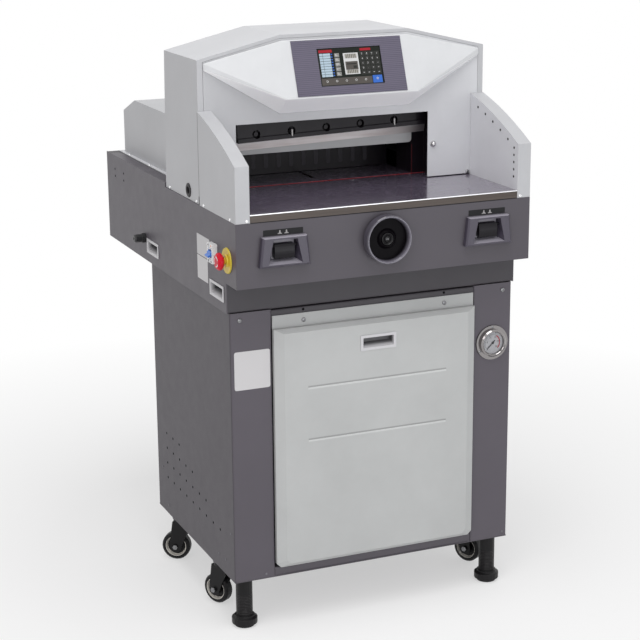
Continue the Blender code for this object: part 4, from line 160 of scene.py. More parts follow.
class Value:
    """One output of a node; arithmetic on it adds Math nodes."""

    def __init__(self, network, socket):
        self.network = network
        self.socket = socket

    def math(self, operation, *values):
        return self.network.node("ShaderNodeMath", {"operation": operation}, dict(enumerate(values)))

    def __add__(self, other):
        return self.math("ADD", self, other)

    def __radd__(self, other):
        return self.math("ADD", other, self)

    def __sub__(self, other):
        return self.math("SUBTRACT", self, other)

    def __rsub__(self, other):
        return self.math("SUBTRACT", other, self)

    def __mul__(self, other):
        return self.math("MULTIPLY", self, other)

    def __rmul__(self, other):
        return self.math("MULTIPLY", other, self)

    def __pow__(self, other):
        return self.math("POWER", self, other)

    def __gt__(self, other):
        return self.math("GREATER_THAN", self, other)

    def __lt__(self, other):
        return self.math("LESS_THAN", self, other)

    def wave(self, length):
        """Rise and fall between 0 and 1 once per length."""
        return self.math("SINE", self * (2 * math.pi / length)) * 0.5 + 0.5


class Network:
    """The nodes of a material or of the world."""

    def __init__(self, tree):
        self.tree = tree

    def node(self, kind, node_settings=None, values=None, out=0):
        """Add a node with its settings, then the values or links of its sockets."""
        made = self.tree.nodes.new(kind)
        for key, value in (node_settings or {}).items():
            if key == "stops":
                self.set_stops(made.color_ramp, value)
            else:
                setattr(made, key, value)
        for key, value in (values or {}).items():
            self.join(made.inputs[key], value)
        return Value(self, made.outputs[out])

    @staticmethod
    def set_stops(ramp, stops):
        for element, (position, tone) in zip(ramp.elements, stops):
            element.position = position
            element.color = (tone, tone, tone, 1.0)

    def join(self, socket, value):
        if isinstance(value, Value):
            self.tree.links.new(value.socket, socket)
        elif isinstance(value, (tuple, Color)) and len(socket.default_value) == 4:
            socket.default_value = (*value, 1.0)
        else:
            socket.default_value = value

    def seen(self):
        """1 where the camera, a mirror or glass looks, and 0 for the light that falls on things."""
        camera, glossy, through = [
            self.node("ShaderNodeLightPath", out=f"Is {kind} Ray")
            for kind in ("Camera", "Glossy", "Transmission")
        ]
        return camera.math("MAXIMUM", camera.math("MAXIMUM", camera, glossy), through)


class Finish(Network):
    """A material under construction."""

    def __init__(self, name, colour, roughness, metallic=0.0, **constants):
        self.material = bpy.data.materials.new(name)
        self.material.use_nodes = True
        self.material.diffuse_color = (*colour, 1.0)
        super().__init__(self.material.node_tree)
        self.shader = self.tree.nodes["Principled BSDF"]
        self.feed("Base Color", colour)
        self.feed("Roughness", roughness)
        self.feed("Metallic", metallic)
        for socket_name, value in constants.items():
            self.feed(socket_name.replace("_", " ").title().replace("Ior", "IOR"), value)

    def feed(self, name, value):
        self.join(self.shader.inputs[name], value)

    def dull(self, factor, low, high, start=0.3, end=0.7):
        """Let the roughness follow a factor from one value to the other."""
        self.feed("Roughness", self.span(factor, start, end, low, high))

    def relief(self, height, distance, strength, edge=0.0):
        """Add bumps, over edges that the light finds rounded."""
        values = {"Height": height, "Distance": distance, "Strength": strength}
        if edge:
            values["Normal"] = self.node("ShaderNodeBevel", {"samples": 6}, {"Radius": edge})
        self.feed("Normal", self.node("ShaderNodeBump", {}, values))

    def mix(self, factor, first, second):
        """Blend two colours."""
        sockets = {0: factor, 6: first, 7: second}
        return self.node("ShaderNodeMix", {"data_type": "RGBA", "clamp_factor": True}, sockets, out=2)

    def shade(self, colour, low, high, factor):
        """Scale a colour between two tones by a factor."""
        return self.mix(factor, scaled(colour, low), scaled(colour, high))

    def position(self):
        return self.node("ShaderNodeTexCoord", out="Object")

    def axis(self, index):
        """One coordinate of the piece's own space."""
        return self.node("ShaderNodeSeparateXYZ", {}, {0: self.position()}, out=index)

    def outward(self, index):
        """One part of the surface's own direction."""
        normal = self.node("ShaderNodeTexCoord", out="Normal")
        return self.node("ShaderNodeSeparateXYZ", {}, {0: normal}, out=index)

    def vectors(self, operation, *values, out=0):
        return self.node("ShaderNodeVectorMath", {"operation": operation}, dict(enumerate(values)), out)

    def noise(self, size, detail=2.0, rough=0.5):
        values = {"Scale": 1.0 / size, "Detail": detail, "Roughness": rough, "Vector": self.position()}
        return self.node("ShaderNodeTexNoise", {}, values)

    def streaks(self, size, along, stretch=60.0):
        """Noise drawn out along one axis, as brushing or grinding leaves it."""
        scale = [1.0 / size] * 3
        scale[along] /= stretch
        drawn = self.vectors("MULTIPLY", self.position(), tuple(scale))
        return self.node("ShaderNodeTexNoise", {}, {"Scale": 1.0, "Detail": 3.0, "Vector": drawn})

    def speckle(self, size, low, high):
        """Sparse small spots."""
        cells = self.node("ShaderNodeTexVoronoi", {}, {"Scale": 1.0 / size, "Vector": self.position()})
        return self.ramp(cells, [(low, 1.0), (high, 0.0)])

    def ramp(self, factor, stops):
        return self.node("ShaderNodeValToRGB", {"stops": stops}, {0: factor})

    def span(self, factor, low, high, to_low=0.0, to_high=1.0):
        """Map a range of a value onto another, and keep it there."""
        sockets = {0: factor, 1: low, 2: high, 3: to_low, 4: to_high}
        return self.node("ShaderNodeMapRange", {"clamp": True}, sockets)


def scaled(colour, factor):
    """A lighter or darker colour."""
    return tuple(min(1.0, part * factor) for part in colour)


# Finishes

FINISHES = {}


def shared(maker):
    """Make each finish once, under its name."""
    def find(name, *arguments):
        if name not in FINISHES:
            FINISHES[name] = maker(name, *arguments)
        return FINISHES[name]
    return find


@shared
def powder_coat(name, colour, roughness, gloss=0.5, painted_light_tones=()):
    """Baked paint: a fine orange peel, faint mottling and softened edges; masks can lighten or darken its tone as
    painted light and painted shade.
    """
    paint = settings("paint")
    coat = Finish(name, colour, roughness, specular_ior_level=gloss)
    grain = coat.noise(paint.grain, 2.0, 0.6)
    dust = coat.noise(0.035, 4.0, 0.7)
    cloud = coat.span(coat.noise(0.16, 3.0) * 0.7 + dust * 0.3, 0.35, 0.65)
    tone = coat.shade(colour, 0.955, 1.035, cloud)
    # Each tone is a lighter copy of the coat for painted light, or a darker one for painted shade, where its mask is
    # set
    for scale, painted_light_mask in painted_light_tones:
        tone = coat.mix(painted_light_mask(coat), tone, coat.shade(colour, 0.955 * scale, 1.035 * scale, cloud))
    coat.feed("Base Color", tone)
    coat.dull(dust * 0.6 + grain * 0.4, roughness - 0.05, roughness + 0.06)
    coat.relief(grain, 0.00012, 0.35, paint.edge_radius)
    return coat


def creases(coat, below, above):
    """A strip along each of the service cover's two creases, for the painted shade above and the painted highlight
    below them.
    """
    low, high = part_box("front_cover")
    offset = coat.axis(0) - (low.x + high.x) / 2
    up = coat.axis(2)
    strips = sum((up > level + below) * (up < level + above) for level in CREASES)
    return strips * (offset.math("ABSOLUTE", offset) < (high.x - low.x) / 2 - 0.080)


@shared
def moulded(name, colour, roughness, gloss=0.5, grain=0.0006, depth=0.00005):
    """Injection-moulded plastic with a fine spark-eroded grain."""
    plastic = Finish(name, colour, roughness, specular_ior_level=gloss)
    fine = plastic.noise(grain)
    plastic.feed("Base Color", plastic.shade(colour, 0.94, 1.05, plastic.noise(0.03)))
    plastic.dull(fine, roughness - 0.04, roughness + 0.05)
    plastic.relief(fine, depth, 0.5, 0.0006)
    return plastic


@shared
def brushed(name, colour, roughness, along):
    """Steel ground or brushed along one axis."""
    metal = Finish(name, colour, roughness, 1.0)
    lines = metal.streaks(0.0008, along)
    wear = lines * 0.6 + metal.noise(0.08, 3.0) * 0.4
    metal.feed("Base Color", metal.shade(colour, 0.82, 1.1, wear))
    metal.dull(wear, roughness - 0.06, roughness + 0.1)
    metal.relief(lines, 0.00003, 0.5, 0.0005)
    return metal


@shared
def plated(name, colour, roughness):
    """Zinc or chrome plating on small parts."""
    metal = Finish(name, colour, roughness, 1.0)
    cloud = metal.noise(0.004, 3.0)
    metal.feed("Base Color", metal.shade(colour, 0.86, 1.06, cloud))
    metal.dull(cloud, roughness - 0.03, roughness + 0.08)
    return metal


@shared
def flat_ink(name, colour, roughness, gloss=0.5):
    """Printed film with a barely uneven sheen."""
    ink = Finish(name, colour, roughness, specular_ior_level=gloss)
    ink.dull(ink.noise(0.01), roughness - 0.04, roughness + 0.05)
    return ink


def radial(finish, joint_name):
    """Distance from a turning joint's axis, for finishes that go round a wheel."""
    joint = next(entry for entry in frame["joints"] if entry["name"] == joint_name)
    away = finish.vectors("SUBTRACT", finish.position(), tuple(joint["pos_m"]))
    return finish.vectors("LENGTH", finish.vectors("CROSS_PRODUCT", away, tuple(joint["axis"])), out="Value")


@shared
def caster_tyre(name, joint_name):
    """Black tyre and hub with a pale ring moulded between them."""
    tyre = Finish(name, (0.012, 0.012, 0.013), 0.5, specular_ior_level=0.22)
    reach = radial(tyre, joint_name)
    ring = (reach > 0.0234) * (reach < 0.0274)
    dust = tyre.noise(0.006, 4.0, 0.7)
    black = tyre.mix(tyre.span(dust, 0.45, 0.75), (0.004, 0.004, 0.005), (0.016, 0.015, 0.015))
    pale = tyre.shade((0.80, 0.77, 0.71), 0.85, 1.1, dust)
    tyre.feed("Base Color", tyre.mix(ring, black, pale))
    tyre.dull(dust, 0.30, 0.52)
    tyre.relief(dust, 0.0001, 0.4, 0.0008)
    return tyre


@shared
def wheel_plastic(name, joint_name):
    """Black dish with a faintly grooved and glossy rim; the rim's paler crest is a painted highlight, and its inner
    wall fades into painted shade deeper in.
    """
    plastic = Finish(name, (0.05, 0.05, 0.06), 0.30, specular_ior_level=0.05, coat_roughness=0.18)
    reach = radial(plastic, joint_name)
    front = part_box("handwheel")[0].y
    # Painted shade: the inner wall keeps the rim's grey near the front and goes black deeper in
    depth = plastic.span(plastic.axis(1), front + 0.003, front + 0.017, 1.0, 0.0)
    wall = plastic.span(reach, 0.0476, 0.0490) * depth
    barrel = plastic.span(reach, 0.0535, 0.0550)
    rim = wall.math("MAXIMUM", wall, barrel)
    grooves = reach.wave(0.0012)
    inside = plastic.shade((0.0032, 0.0026, 0.0036), 0.7, 1.8, plastic.noise(0.03, 3.0))
    # Painted highlight: the crest is paler than the barrel
    crest_highlight = plastic.shade((0.165, 0.155, 0.19), 0.90, 1.08, grooves)
    outside = plastic.mix(barrel, crest_highlight, (0.072, 0.066, 0.085))
    plastic.feed("Base Color", plastic.mix(rim, inside, outside))
    plastic.feed("Coat Weight", rim)
    plastic.dull(grooves, 0.28, 0.36, 0.0, 1.0)
    plastic.relief(plastic.noise(0.0006) * rim * 0.4 + grooves * 0.4, 0.00006, 0.6, 0.0012)
    return plastic


@shared
def polished_table(name, colour):
    """Dark polished plate with fine swirls, hairline scratches and specks, and ground sides."""
    metal = Finish(name, colour, 0.2, 0.5, coat_roughness=0.12, coat_ior=1.8)
    top = metal.axis(2) > PANEL_HIGH.z + 0.0172
    fine = metal.streaks(0.0007, 0, 40.0)
    swirl = metal.noise(0.05, 5.0, 0.7)
    hair = metal.ramp(metal.streaks(0.0016, 1, 90.0), [(0.60, 0.0), (0.70, 1.0)])
    scuff = metal.ramp(metal.streaks(0.0024, 0, 50.0), [(0.64, 0.0), (0.72, 1.0)])
    polished = metal.shade(colour, 0.70, 1.50, swirl * 0.35 + fine * 0.35 + hair * 0.15 + scuff * 0.15)
    spots = metal.speckle(0.009, 0.05, 0.10) + metal.speckle(0.0028, 0.06, 0.12) * 0.45
    polished = metal.mix(spots * 0.8, polished, (0.74, 0.72, 0.76))
    lines = metal.streaks(0.0006, 0, 70.0)
    bands = metal.streaks(0.004, 0, 60.0)
    ground = metal.shade((0.072, 0.059, 0.052), 0.40, 1.60, lines * 0.5 + bands * 0.5)
    metal.feed("Base Color", metal.mix(top, ground, polished))
    shine = metal.span(swirl * 0.6 + fine * 0.4, 0.3, 0.7, 0.17, 0.34)
    metal.feed("Roughness", metal.mix(top, (0.40, 0.40, 0.40), shine))
    metal.feed("Metallic", metal.span(top, 0.0, 1.0, 0.60, 0.25))
    metal.feed("Coat Weight", top)
    metal.relief(lines * (1.0 - top) + fine * top * 0.3, 0.00003, 0.6, 0.0008)
    return metal


@shared
def ground_blade(name, colour):
    """Blade ground across its length in soft bands that darken at the right end."""
    metal = Finish(name, colour, 0.3, 0.0, specular_ior_level=0.9)
    lines = metal.streaks(0.0007, 0)
    bands = metal.streaks(0.012, 0, 12.0)
    dark = metal.span(metal.axis(0), place(0.02).x, place(0.235).x)
    cloud = metal.span(bands * 0.7 + metal.noise(0.06) * 0.3, 0.35, 0.65)
    warm = metal.mix(cloud, colour, (0.68, 0.61, 0.57))
    warm = metal.mix(metal.span(lines, 0.3, 0.7, 0.0, 0.4), warm, (0.97, 0.95, 0.94))
    metal.feed("Base Color", metal.mix(dark ** 2.0 * 0.85, warm, (0.07, 0.065, 0.08)))
    metal.dull(lines, 0.26, 0.40)
    metal.relief(lines, 0.00003, 0.6, 0.0004)
    return metal


@shared
def lined_panel(name, colour):
    """Film of the console with fine lines across it."""
    film = Finish(name, colour, 0.38, specular_ior_level=0.4)
    lines = film.axis(2).wave(0.0042)
    uneven = lines * 0.55 + film.noise(0.05, 4.0, 0.7) * 0.2 + film.streaks(0.006, 0, 12.0) * 0.25
    film.feed("Base Color", film.shade(colour, 0.62, 1.42, uneven))
    film.dull(lines, 0.30, 0.46, 0.0, 1.0)
    film.relief(lines, 0.00008, 0.5)
    return film


@shared
def threaded_post(name, colour):
    """Moulded foot: turned threads on the lower half of the post, drawn as paler bands for a painted highlight on
    their ridges, and dusty lower down.
    """
    plastic = Finish(name, colour, 0.42, specular_ior_level=0.25)
    up = plastic.axis(2)
    thread_ridges_and_highlight = up.wave(0.0040) * ((up > 0.032) * (up < 0.082))
    dust = plastic.noise(0.012, 4.0, 0.7)
    low = plastic.span(up, 0.0, 0.06, 0.45, 0.0)
    plastic.feed("Base Color", plastic.mix(low * dust * 0.5 + thread_ridges_and_highlight * 0.5, colour, (0.035, 0.032, 0.034)))
    plastic.dull(dust, 0.30, 0.46)
    plastic.relief(thread_ridges_and_highlight + dust * 0.06, 0.0016, 0.9, 0.0015)
    return plastic


@shared
def flush_pull(name, colour, node, axis, inward):
    """Flush pull: pale rim and floor slope, with painted shade deeper in its well and towards its top."""
    plastic = moulded(name, colour, 0.36)
    low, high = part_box(node)
    face = low[axis] if inward > 0 else high[axis]
    # Painted shade in the well: darker with depth, less so low down
    painted_depth_shade = plastic.span((plastic.axis(axis) - face) * inward, 0.0025, 0.0120)
    painted_height_shade = plastic.span(plastic.axis(2), low.z + 0.007, low.z + 0.015, 0.30, 1.0)
    plastic.feed("Base Color", plastic.mix(painted_depth_shade * painted_height_shade * 0.9, colour, (0.035, 0.035, 0.040)))
    return plastic


@shared
def sill_lit_plastic(name, colour):
    """Control plastic, with painted light making the sills that face upwards paler."""
    plastic = moulded(name, colour, 0.34)
    # Painted light on the sills that face upwards
    tone = plastic.mix(plastic.span(plastic.outward(2), 0.2, 0.7), colour, (0.30, 0.285, 0.33))
    plastic.feed("Base Color", plastic.mix(plastic.noise(0.03) * 0.12, tone, (0.02, 0.018, 0.025)))
    return plastic


@shared
def clear_glass(name):
    """Thin clear disc that keeps its reflections."""
    glass = Finish(name, (0.10, 0.11, 0.11), 0.04)
    smear = glass.noise(0.02, 4.0, 0.7)
    glass.dull(smear, 0.02, 0.09)
    glass.feed("Alpha", glass.span(smear, 0.3, 0.7, 0.05, 0.09))
    return glass


@shared
def display_film(name, colour, glow):
    """A lit area of the display with the fine grid of its pixels."""
    film = Finish(name, colour, 0.22, specular_ior_level=0.3)
    grid = film.node("ShaderNodeTexWave", {"wave_type": "BANDS"}, {"Vector": film.position(), "Scale": 700.0})
    return lit(film, film.shade(colour, 0.92, 1.04, grid), glow)


@shared
def hatched(name, first, second, pitch):
    """Slanted stripes shown in two tones."""
    film = Finish(name, first, 0.3)
    slant = film.axis(0) + film.axis(2)
    return lit(film, film.mix(slant.wave(pitch) > 0.5, first, second), 0.25)


def lit(film, tone, glow):
    """Let a film show and give off one tone."""
    film.feed("Base Color", tone)
    film.feed("Emission Color", tone)
    film.feed("Emission Strength", glow)
    return film


def zinc_plate():
    return plated("zinc_plate", settings("metal").zinc, 0.26)


# Black for the barrier's lenses, and painted shade for the pieces set into holes, slots and vents
def lens_black_and_hole_shade():
    return flat_ink("lens_black_and_hole_shade", (0.003, 0.003, 0.0035), 0.9, 0.0)


def control_plastic():
    return sill_lit_plastic("control_plastic", settings("plastic").housing)


def dress(finish, *nodes):
    """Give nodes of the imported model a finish."""
    for node in nodes:
        materials = frame["nodes"][node].data.materials
        materials.clear()
        materials.append(finish.material)


# Mesh building: every outline lies in the local X-Y plane, with Z out of the surface that it sits on

def standing(position, normal, upward=(0, 0, 1)):
    """Stand a piece's local Z along a normal and its Y towards a direction."""
    out = Vector(normal).normalized()
    across = Vector(upward).cross(out).normalized()
    turn = Matrix((across, out.cross(across), out)).transposed().to_4x4()
    return Matrix.Translation(position) @ turn


def facing(point, normal, upward=(0, 0, 1)):
    """The same at a point of the machine's own frame."""
    return standing(place(*point), normal, upward)


def ring_points(radius, steps, start=0.0, end=2 * math.pi, centre=(0.0, 0.0)):
    """Points round a circle, or along an arc with both of its ends."""
    full = math.isclose(abs(end - start), 2 * math.pi)
    last = steps if full else steps - 1
    angles = [start + (end - start) * index / last for index in range(steps)]
    return [(centre[0] + radius * math.cos(angle), centre[1] + radius * math.sin(angle)) for angle in angles]


def round_corners(low, high, radius, steps=4):
    """A rectangle with rounded corners."""
    corners = (
        (high[0] - radius, high[1] - radius), (low[0] + radius, high[1] - radius),
        (low[0] + radius, low[1] + radius), (high[0] - radius, low[1] + radius),
    )
    points = []
    for quarter, centre in enumerate(corners):
        points += ring_points(radius, steps + 1, quarter * math.pi / 2, (quarter + 1) * math.pi / 2, centre)
    return points


def rounded(half_width, half_height, radius, steps):
    """The same about the local origin."""
    return round_corners((-half_width, -half_height), (half_width, half_height), radius, steps)


def lathe(profile, steps=32):
    """Turn a profile of radius and height round local Z; it runs from the axis or edge on top to the foot."""
    build = bmesh.new()
    loops = []
    for radius, height in profile:
        points = [(0, 0)] if radius == 0 else ring_points(radius, steps)
        loops.append([build.verts.new((across, along, height)) for across, along in points])
    for upper, lower in zip(loops, loops[1:]):
        for index in range(steps):
            following = (index + 1) % steps
            face = [upper[index % len(upper)], lower[index % len(lower)]]
            if len(lower) > 1:
                face.append(lower[following])
            if len(upper) > 1:
                face.append(upper[following])
            build.faces.new(face)
    return build


def slab(outline, bottom, top, build=None):
    """Give an outline a thickness."""
    build = build or bmesh.new()
    base = [build.verts.new((across, along, bottom)) for across, along in outline]
    cap = [build.verts.new((across, along, top)) for across, along in outline]
    build.faces.new(base[::-1])
    build.faces.new(cap)
    for index in range(len(outline)):
        following = (index + 1) % len(outline)
        build.faces.new((base[index], base[following], cap[following], cap[index]))
    return build


def bars(spans, bottom=0.0, top=PRINT):
    """Flat bars in one mesh, each from its lower left corner to its upper right one."""
    build = bmesh.new()
    for left, low, right, high in spans:
        slab([(left, low), (right, low), (right, high), (left, high)], bottom, top, build)
    return build


def band(outer, inner, bottom, top, build=None):
    """A frame between two outlines with equal numbers of points."""
    build = build or bmesh.new()
    rings = []
    for outline, height in ((outer, bottom), (outer, top), (inner, top), (inner, bottom)):
        rings.append([build.verts.new((across, along, height)) for across, along in outline])
    for first, second in zip(rings, rings[1:] + rings[:1]):
        for index in range(len(outer)):
            following = (index + 1) % len(outer)
            build.faces.new((first[index], first[following], second[following], second[index]))
    return build


def hoops(outer, inner, steps, centres, bottom, top):
    """Small rings in one mesh."""
    build = bmesh.new()
    for centre in centres:
        edges = [ring_points(radius, steps, centre=centre) for radius in (outer, inner)]
        band(*edges, bottom, top, build)
    return build


def arc_strip(inner, outer, start, end, bottom, top, steps, build=None):
    """A curved bar between two radii, from one angle in degrees to another."""
    start, end = math.radians(start), math.radians(end)
    outline = ring_points(outer, steps, start, end) + ring_points(inner, steps, end, start)
    return slab(outline, bottom, top, build)


def mesh_of(name, build, smooth_angle=35.0):
    """Finish a mesh: outward normals, and smooth shading away from sharp edges."""
    bmesh.ops.recalc_face_normals(build, faces=build.faces)
    limit = math.radians(smooth_angle)
    for face in build.faces:
        face.smooth = True
    for edge in build.edges:
        if len(edge.link_faces) == 2 and edge.calc_face_angle() > limit:
            edge.smooth = False
    mesh = bpy.data.meshes.new(name)
    build.to_mesh(mesh)
    build.free()
    return mesh


def linked(name, data):
    """A new object in the scene."""
    obj = bpy.data.objects.new(name, data)
    bpy.context.scene.collection.objects.link(obj)
    return obj


def fit(name, mesh, finish, matrix, body="machine"):
    """Put a piece in its place; it moves with a body of the machine."""
    if isinstance(mesh, bmesh.types.BMesh):
        mesh = mesh_of(name, mesh)
    if not mesh.materials:
        mesh.materials.append(finish.material)
    obj = linked(name, mesh)
    obj.matrix_world = matrix
    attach(obj, body)


def evaluated(name, obj):
    """A new mesh of what an object's modifiers or text make of it."""
    bpy.context.view_layer.update()
    mesh = bpy.data.meshes.new_from_object(obj.evaluated_get(bpy.context.evaluated_depsgraph_get()))
    mesh.name = name
    return mesh


def carved(name, base, tool):
    """Cut one mesh out of another."""
    builds = ((name + "_base", base), (name + "_tool", tool))
    objects = [linked(part, mesh_of(part, build)) for part, build in builds]
    boolean = objects[0].modifiers.new("recess", "BOOLEAN")
    boolean.operation = "DIFFERENCE"
    boolean.solver = "EXACT"
    boolean.object = objects[1]
    mesh = evaluated(name, objects[0])
    for obj in objects:
        old = obj.data
        bpy.data.objects.remove(obj)
        bpy.data.meshes.remove(old)
    return mesh


def pan_screw(radius, height):
    """Pan head with a cross recess, made once for each radius."""
    name = f"pan_screw_{round(radius * 10000)}"
    if name in bpy.data.meshes:
        return bpy.data.meshes[name]
    wide, thin = radius * 0.52, radius * 0.11
    cross = [
        (wide, -thin), (wide, thin), (thin, thin), (thin, wide), (-thin, wide), (-thin, thin),
        (-wide, thin), (-wide, -thin), (-thin, -thin), (-thin, -wide), (thin, -wide), (thin, -thin),
    ]
    head = dome(radius, height, 20, (0.0, 0.25, 0.5, 0.75, 0.92), 0.35)
    return carved(name, head, slab(cross, height * 0.45, height * 2))


def dome(radius, height, steps, shares=(0.0, 0.2, 0.4, 0.6, 0.8, 0.95), rim=0.0):
    """Domed head, as on a rivet, that can stand on a rim."""
    profile = []
    for share in shares:
        angle = share * math.pi / 2
        profile.append((radius * math.sin(angle), height * (rim + (1.0 - rim) * math.cos(angle))))
    return lathe(profile + [(radius, 0.0), (0, 0.0)], steps)


def lettering(name, text, size, thickness):
    """Figures of a dial or a key, centred on the local origin."""
    curve = bpy.data.curves.new(name, "FONT")
    curve.body = text
    curve.size = size
    curve.extrude = thickness / 2
    curve.align_x = "CENTER"
    curve.align_y = "CENTER"
    curve.resolution_u = 2
    obj = linked(name, curve)
    mesh = evaluated(name, obj)
    bpy.data.objects.remove(obj)
    bpy.data.curves.remove(curve)
    return mesh


# Operators

class CUTTER_OT_paintwork(bpy.types.Operator):
    """Powder coats of the hood, the cover, the body and the stand, with painted light and painted shade on some of
    their faces
    """

    bl_idname = "cutter.paintwork"
    bl_label = "Paintwork"

    def execute(self, context):
        paint = settings("paint")
        plate_span = (place(-0.20).x, place(0.26).x)
        dress(powder_coat("hood_powder_coat", paint.light, 0.42), "wing_left")
        # Painted light: a lighter tone on the shell's upward faces, on the rear housing's low upward flange, towards
        # the right of the front plate and on the right wing's inner face
        for node, name, scale, painted_light_mask in (
            ("hood_shell", "shell", 1.15, lambda coat: coat.span(coat.outward(2), 0.3, 0.8)),
            ("rear_housing", "housing", 1.55, lambda coat: (coat.outward(2) > 0.8) * (coat.axis(2) < 1.04)),
            ("hood_front_plate", "plate", 1.29, lambda coat: coat.span(coat.axis(0), *plate_span)),
            ("wing_right", "wing", 1.46, lambda coat: coat.span(coat.outward(0), -0.3, -0.8)),
        ):
            dress(powder_coat(name + "_powder_coat", paint.light, 0.42, 0.5, [(scale, painted_light_mask)]), node)
        # Painted light: the console's coat is a lighter copy of the hood paint, and its chin, which faces downwards,
        # is lighter still
        dress(powder_coat("console_powder_coat", paint.console, 0.40, 0.5, [
            (1.55, lambda coat: coat.span(coat.outward(2), -0.10, -0.30)),
        ]), "console_fairing")
        dress(powder_coat("cover_powder_coat", paint.cover, 0.42, 0.5, [
            # Painted shade on the top flange and just above each crease, painted highlight just below each crease
            (0.90, lambda coat: coat.span(coat.axis(2), 0.7365, 0.7385)),
            (0.70, lambda coat: creases(coat, 0.0, 0.0042)),
            (1.22, lambda coat: creases(coat, -0.0042, 0.0)),
        ]), "front_cover")
        dress(
            powder_coat("body_powder_coat", paint.dark, 0.46),
            "stand_rear_panel", "stand_base", "body_side_left", "body_side_right", "screw_cradle",
        )
        # The stand gets a lighter copy of the body paint, painted light on the pillar fronts, with painted shade on
        # its outer sides
        for side, sign in SIDES:
            dress(powder_coat("stand_powder_coat_" + side, scaled(paint.dark, 1.17), 0.46, 0.36, [
                (0.68, lambda coat, sign=sign: coat.span(coat.outward(0) * sign, 0.3, 0.8)),
            ]), "stand_side_" + side)
        # A darker copy of the body paint: painted shade on the front panel
        dress(powder_coat("fascia_powder_coat", scaled(paint.dark, 0.92), 0.46, 0.42), "front_fascia")
        # Painted shade: the strip under the front panel gets the body paint at half its tone
        painted_shade_coat = powder_coat("sheltered_powder_coat", scaled(paint.dark, 0.50), 0.5)
        dress(painted_shade_coat, "body_tray", "stand_top_rail")
        dress(
            powder_coat("black_enamel", (0.0085, 0.0062, 0.0095), 0.34, 0.2), "hydraulic_unit",
            "side_column_left", "side_column_right", "guide_beam", "knife_carrier", "backgauge",
        )
        dress(powder_coat("clamp_enamel", (0.42, 0.425, 0.43), 0.40), "clamp_beam")
        return {"FINISHED"}


class CUTTER_OT_metalwork(bpy.types.Operator):
    """Table, knife, screw, gauge case and the arris along the table's front, a real chamfer in brighter steel for a
    painted highlight
    """

    bl_idname = "cutter.metalwork"
    bl_label = "Metalwork"

    def execute(self, context):
        metal = settings("metal")
        dress(polished_table("polished_table", metal.table), "main_table")
        dress(ground_blade("ground_blade", metal.blade), "knife")
        dress(brushed("turned_steel", (0.45, 0.45, 0.47), 0.30, 0), "knife_slide_block", "leadscrew")
        # A darker copy of chrome on the gauge: painted reflection of darker surroundings
        dress(plated("gauge_chrome", (0.30, 0.285, 0.285), 0.07), "gauge_case")
        dress(clear_glass("gauge_glass_clear"), "gauge_glass")
        low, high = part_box("main_table")
        # A real chamfer along the table's front, in brighter steel than the table: painted highlight
        size, proud = 0.0020, 0.0003
        wedge = slab([(proud, -size), (proud, 0.0), (0.0, proud), (-size, proud)], 0.0, high.x - low.x)
        fit("table_front_arris", mesh_of("table_front_arris", wedge, 20.0),
            brushed("bright_arris", (0.80, 0.80, 0.82), 0.28, 0), standing((high.x, low.y, high.z), LEFT))
        return {"FINISHED"}


class CUTTER_OT_plastics(bpy.types.Operator):
    """Moulded controls, pulls, casters and feet"""

    bl_idname = "cutter.plastics"
    bl_label = "Plastics and Rubber"

    def execute(self, context):
        plastic = settings("plastic")
        dress(control_plastic(), "paddle_housing_left", "paddle_housing_right")
        paddle = moulded("paddle_plastic", (0.0075, 0.0062, 0.0092), 0.30, 0.22)
        dress(paddle, "cut_paddle_left", "cut_paddle_right")
        dress(wheel_plastic("handwheel_plastic", "handwheel_spin"), "handwheel")
        dress(flush_pull("cover_pull_plastic", plastic.pull, "cover_pull", 1, 1), "cover_pull")
        dress(moulded("stop_red", plastic.red, 0.34, 0.22, 0.002, 0.00002), "estop_head")
        dress(moulded("stop_yellow", plastic.yellow, 0.34), "estop_plate", "estop_plunger")
        dress(moulded("stick_red", (0.42, 0.012, 0.02), 0.45), "cutting_stick")
        dress(moulded("black_nylon", (0.012, 0.012, 0.014), 0.34), "cable_gland", "gauge_needle")
        dress(moulded("breaker_white", (0.90, 0.90, 0.90), 0.34), "breaker_body")
        dress(moulded("breaker_blue", plastic.blue, 0.28), "breaker_toggle")
        dress(threaded_post("foot_nylon", (0.0055, 0.0050, 0.0058)), "foot_left", "foot_right")
        fork = powder_coat("fork_enamel", (0.0065, 0.006, 0.007), 0.30, 0.25)
        for corner in CORNERS:
            pull = "side_pull_" + corner
            inward = 1 if corner.endswith("left") else -1
            dress(flush_pull(pull + "_plastic", plastic.pull, pull, 0, inward), pull)
            dress(fork, "caster_fork_" + corner)
            dress(caster_tyre("tyre_" + corner, "roll_" + corner), "caster_wheel_" + corner)
        dress(lined_panel("console_film", (0.105, 0.095, 0.135)), "control_bezel")
        dress(flat_ink("display_black", (0.006, 0.009, 0.006), 0.16, 0.25), "touch_screen")
        return {"FINISHED"}


def fit_row(name, mesh, finish, normal, points, body="machine"):
    """Pieces of one kind, each turned a little further than the last."""
    upward = REAR if normal == TOP else TOP
    for index, point in enumerate(points):
        turn = Matrix.Rotation(0.7 * index + 0.4, 4, "Z")
        fit(f"{name}_{index}", mesh, finish, facing(point, normal, upward) @ turn, body)


def fit_vents(name, sign, black):
    """Painted shade in the stand's vent holes: dark plugs, in rows that get shorter upwards."""
    pitch, rise, half = 0.0493, 0.0403, 0.0030
    build = bmesh.new()
    for level, count in enumerate((9, 7, 5, 3)):
        for column in range(count):
            across, up = -sign * pitch * column, rise * level
            outline = round_corners((across - half, up - half), (across + half, up + half), 0.0014, 2)
            slab(outline, -0.0012, 0.00015, build)
    fit(name, build, black, facing((sign * STAND_SIDE, 0.560, 0.227), (sign, 0, 0)))


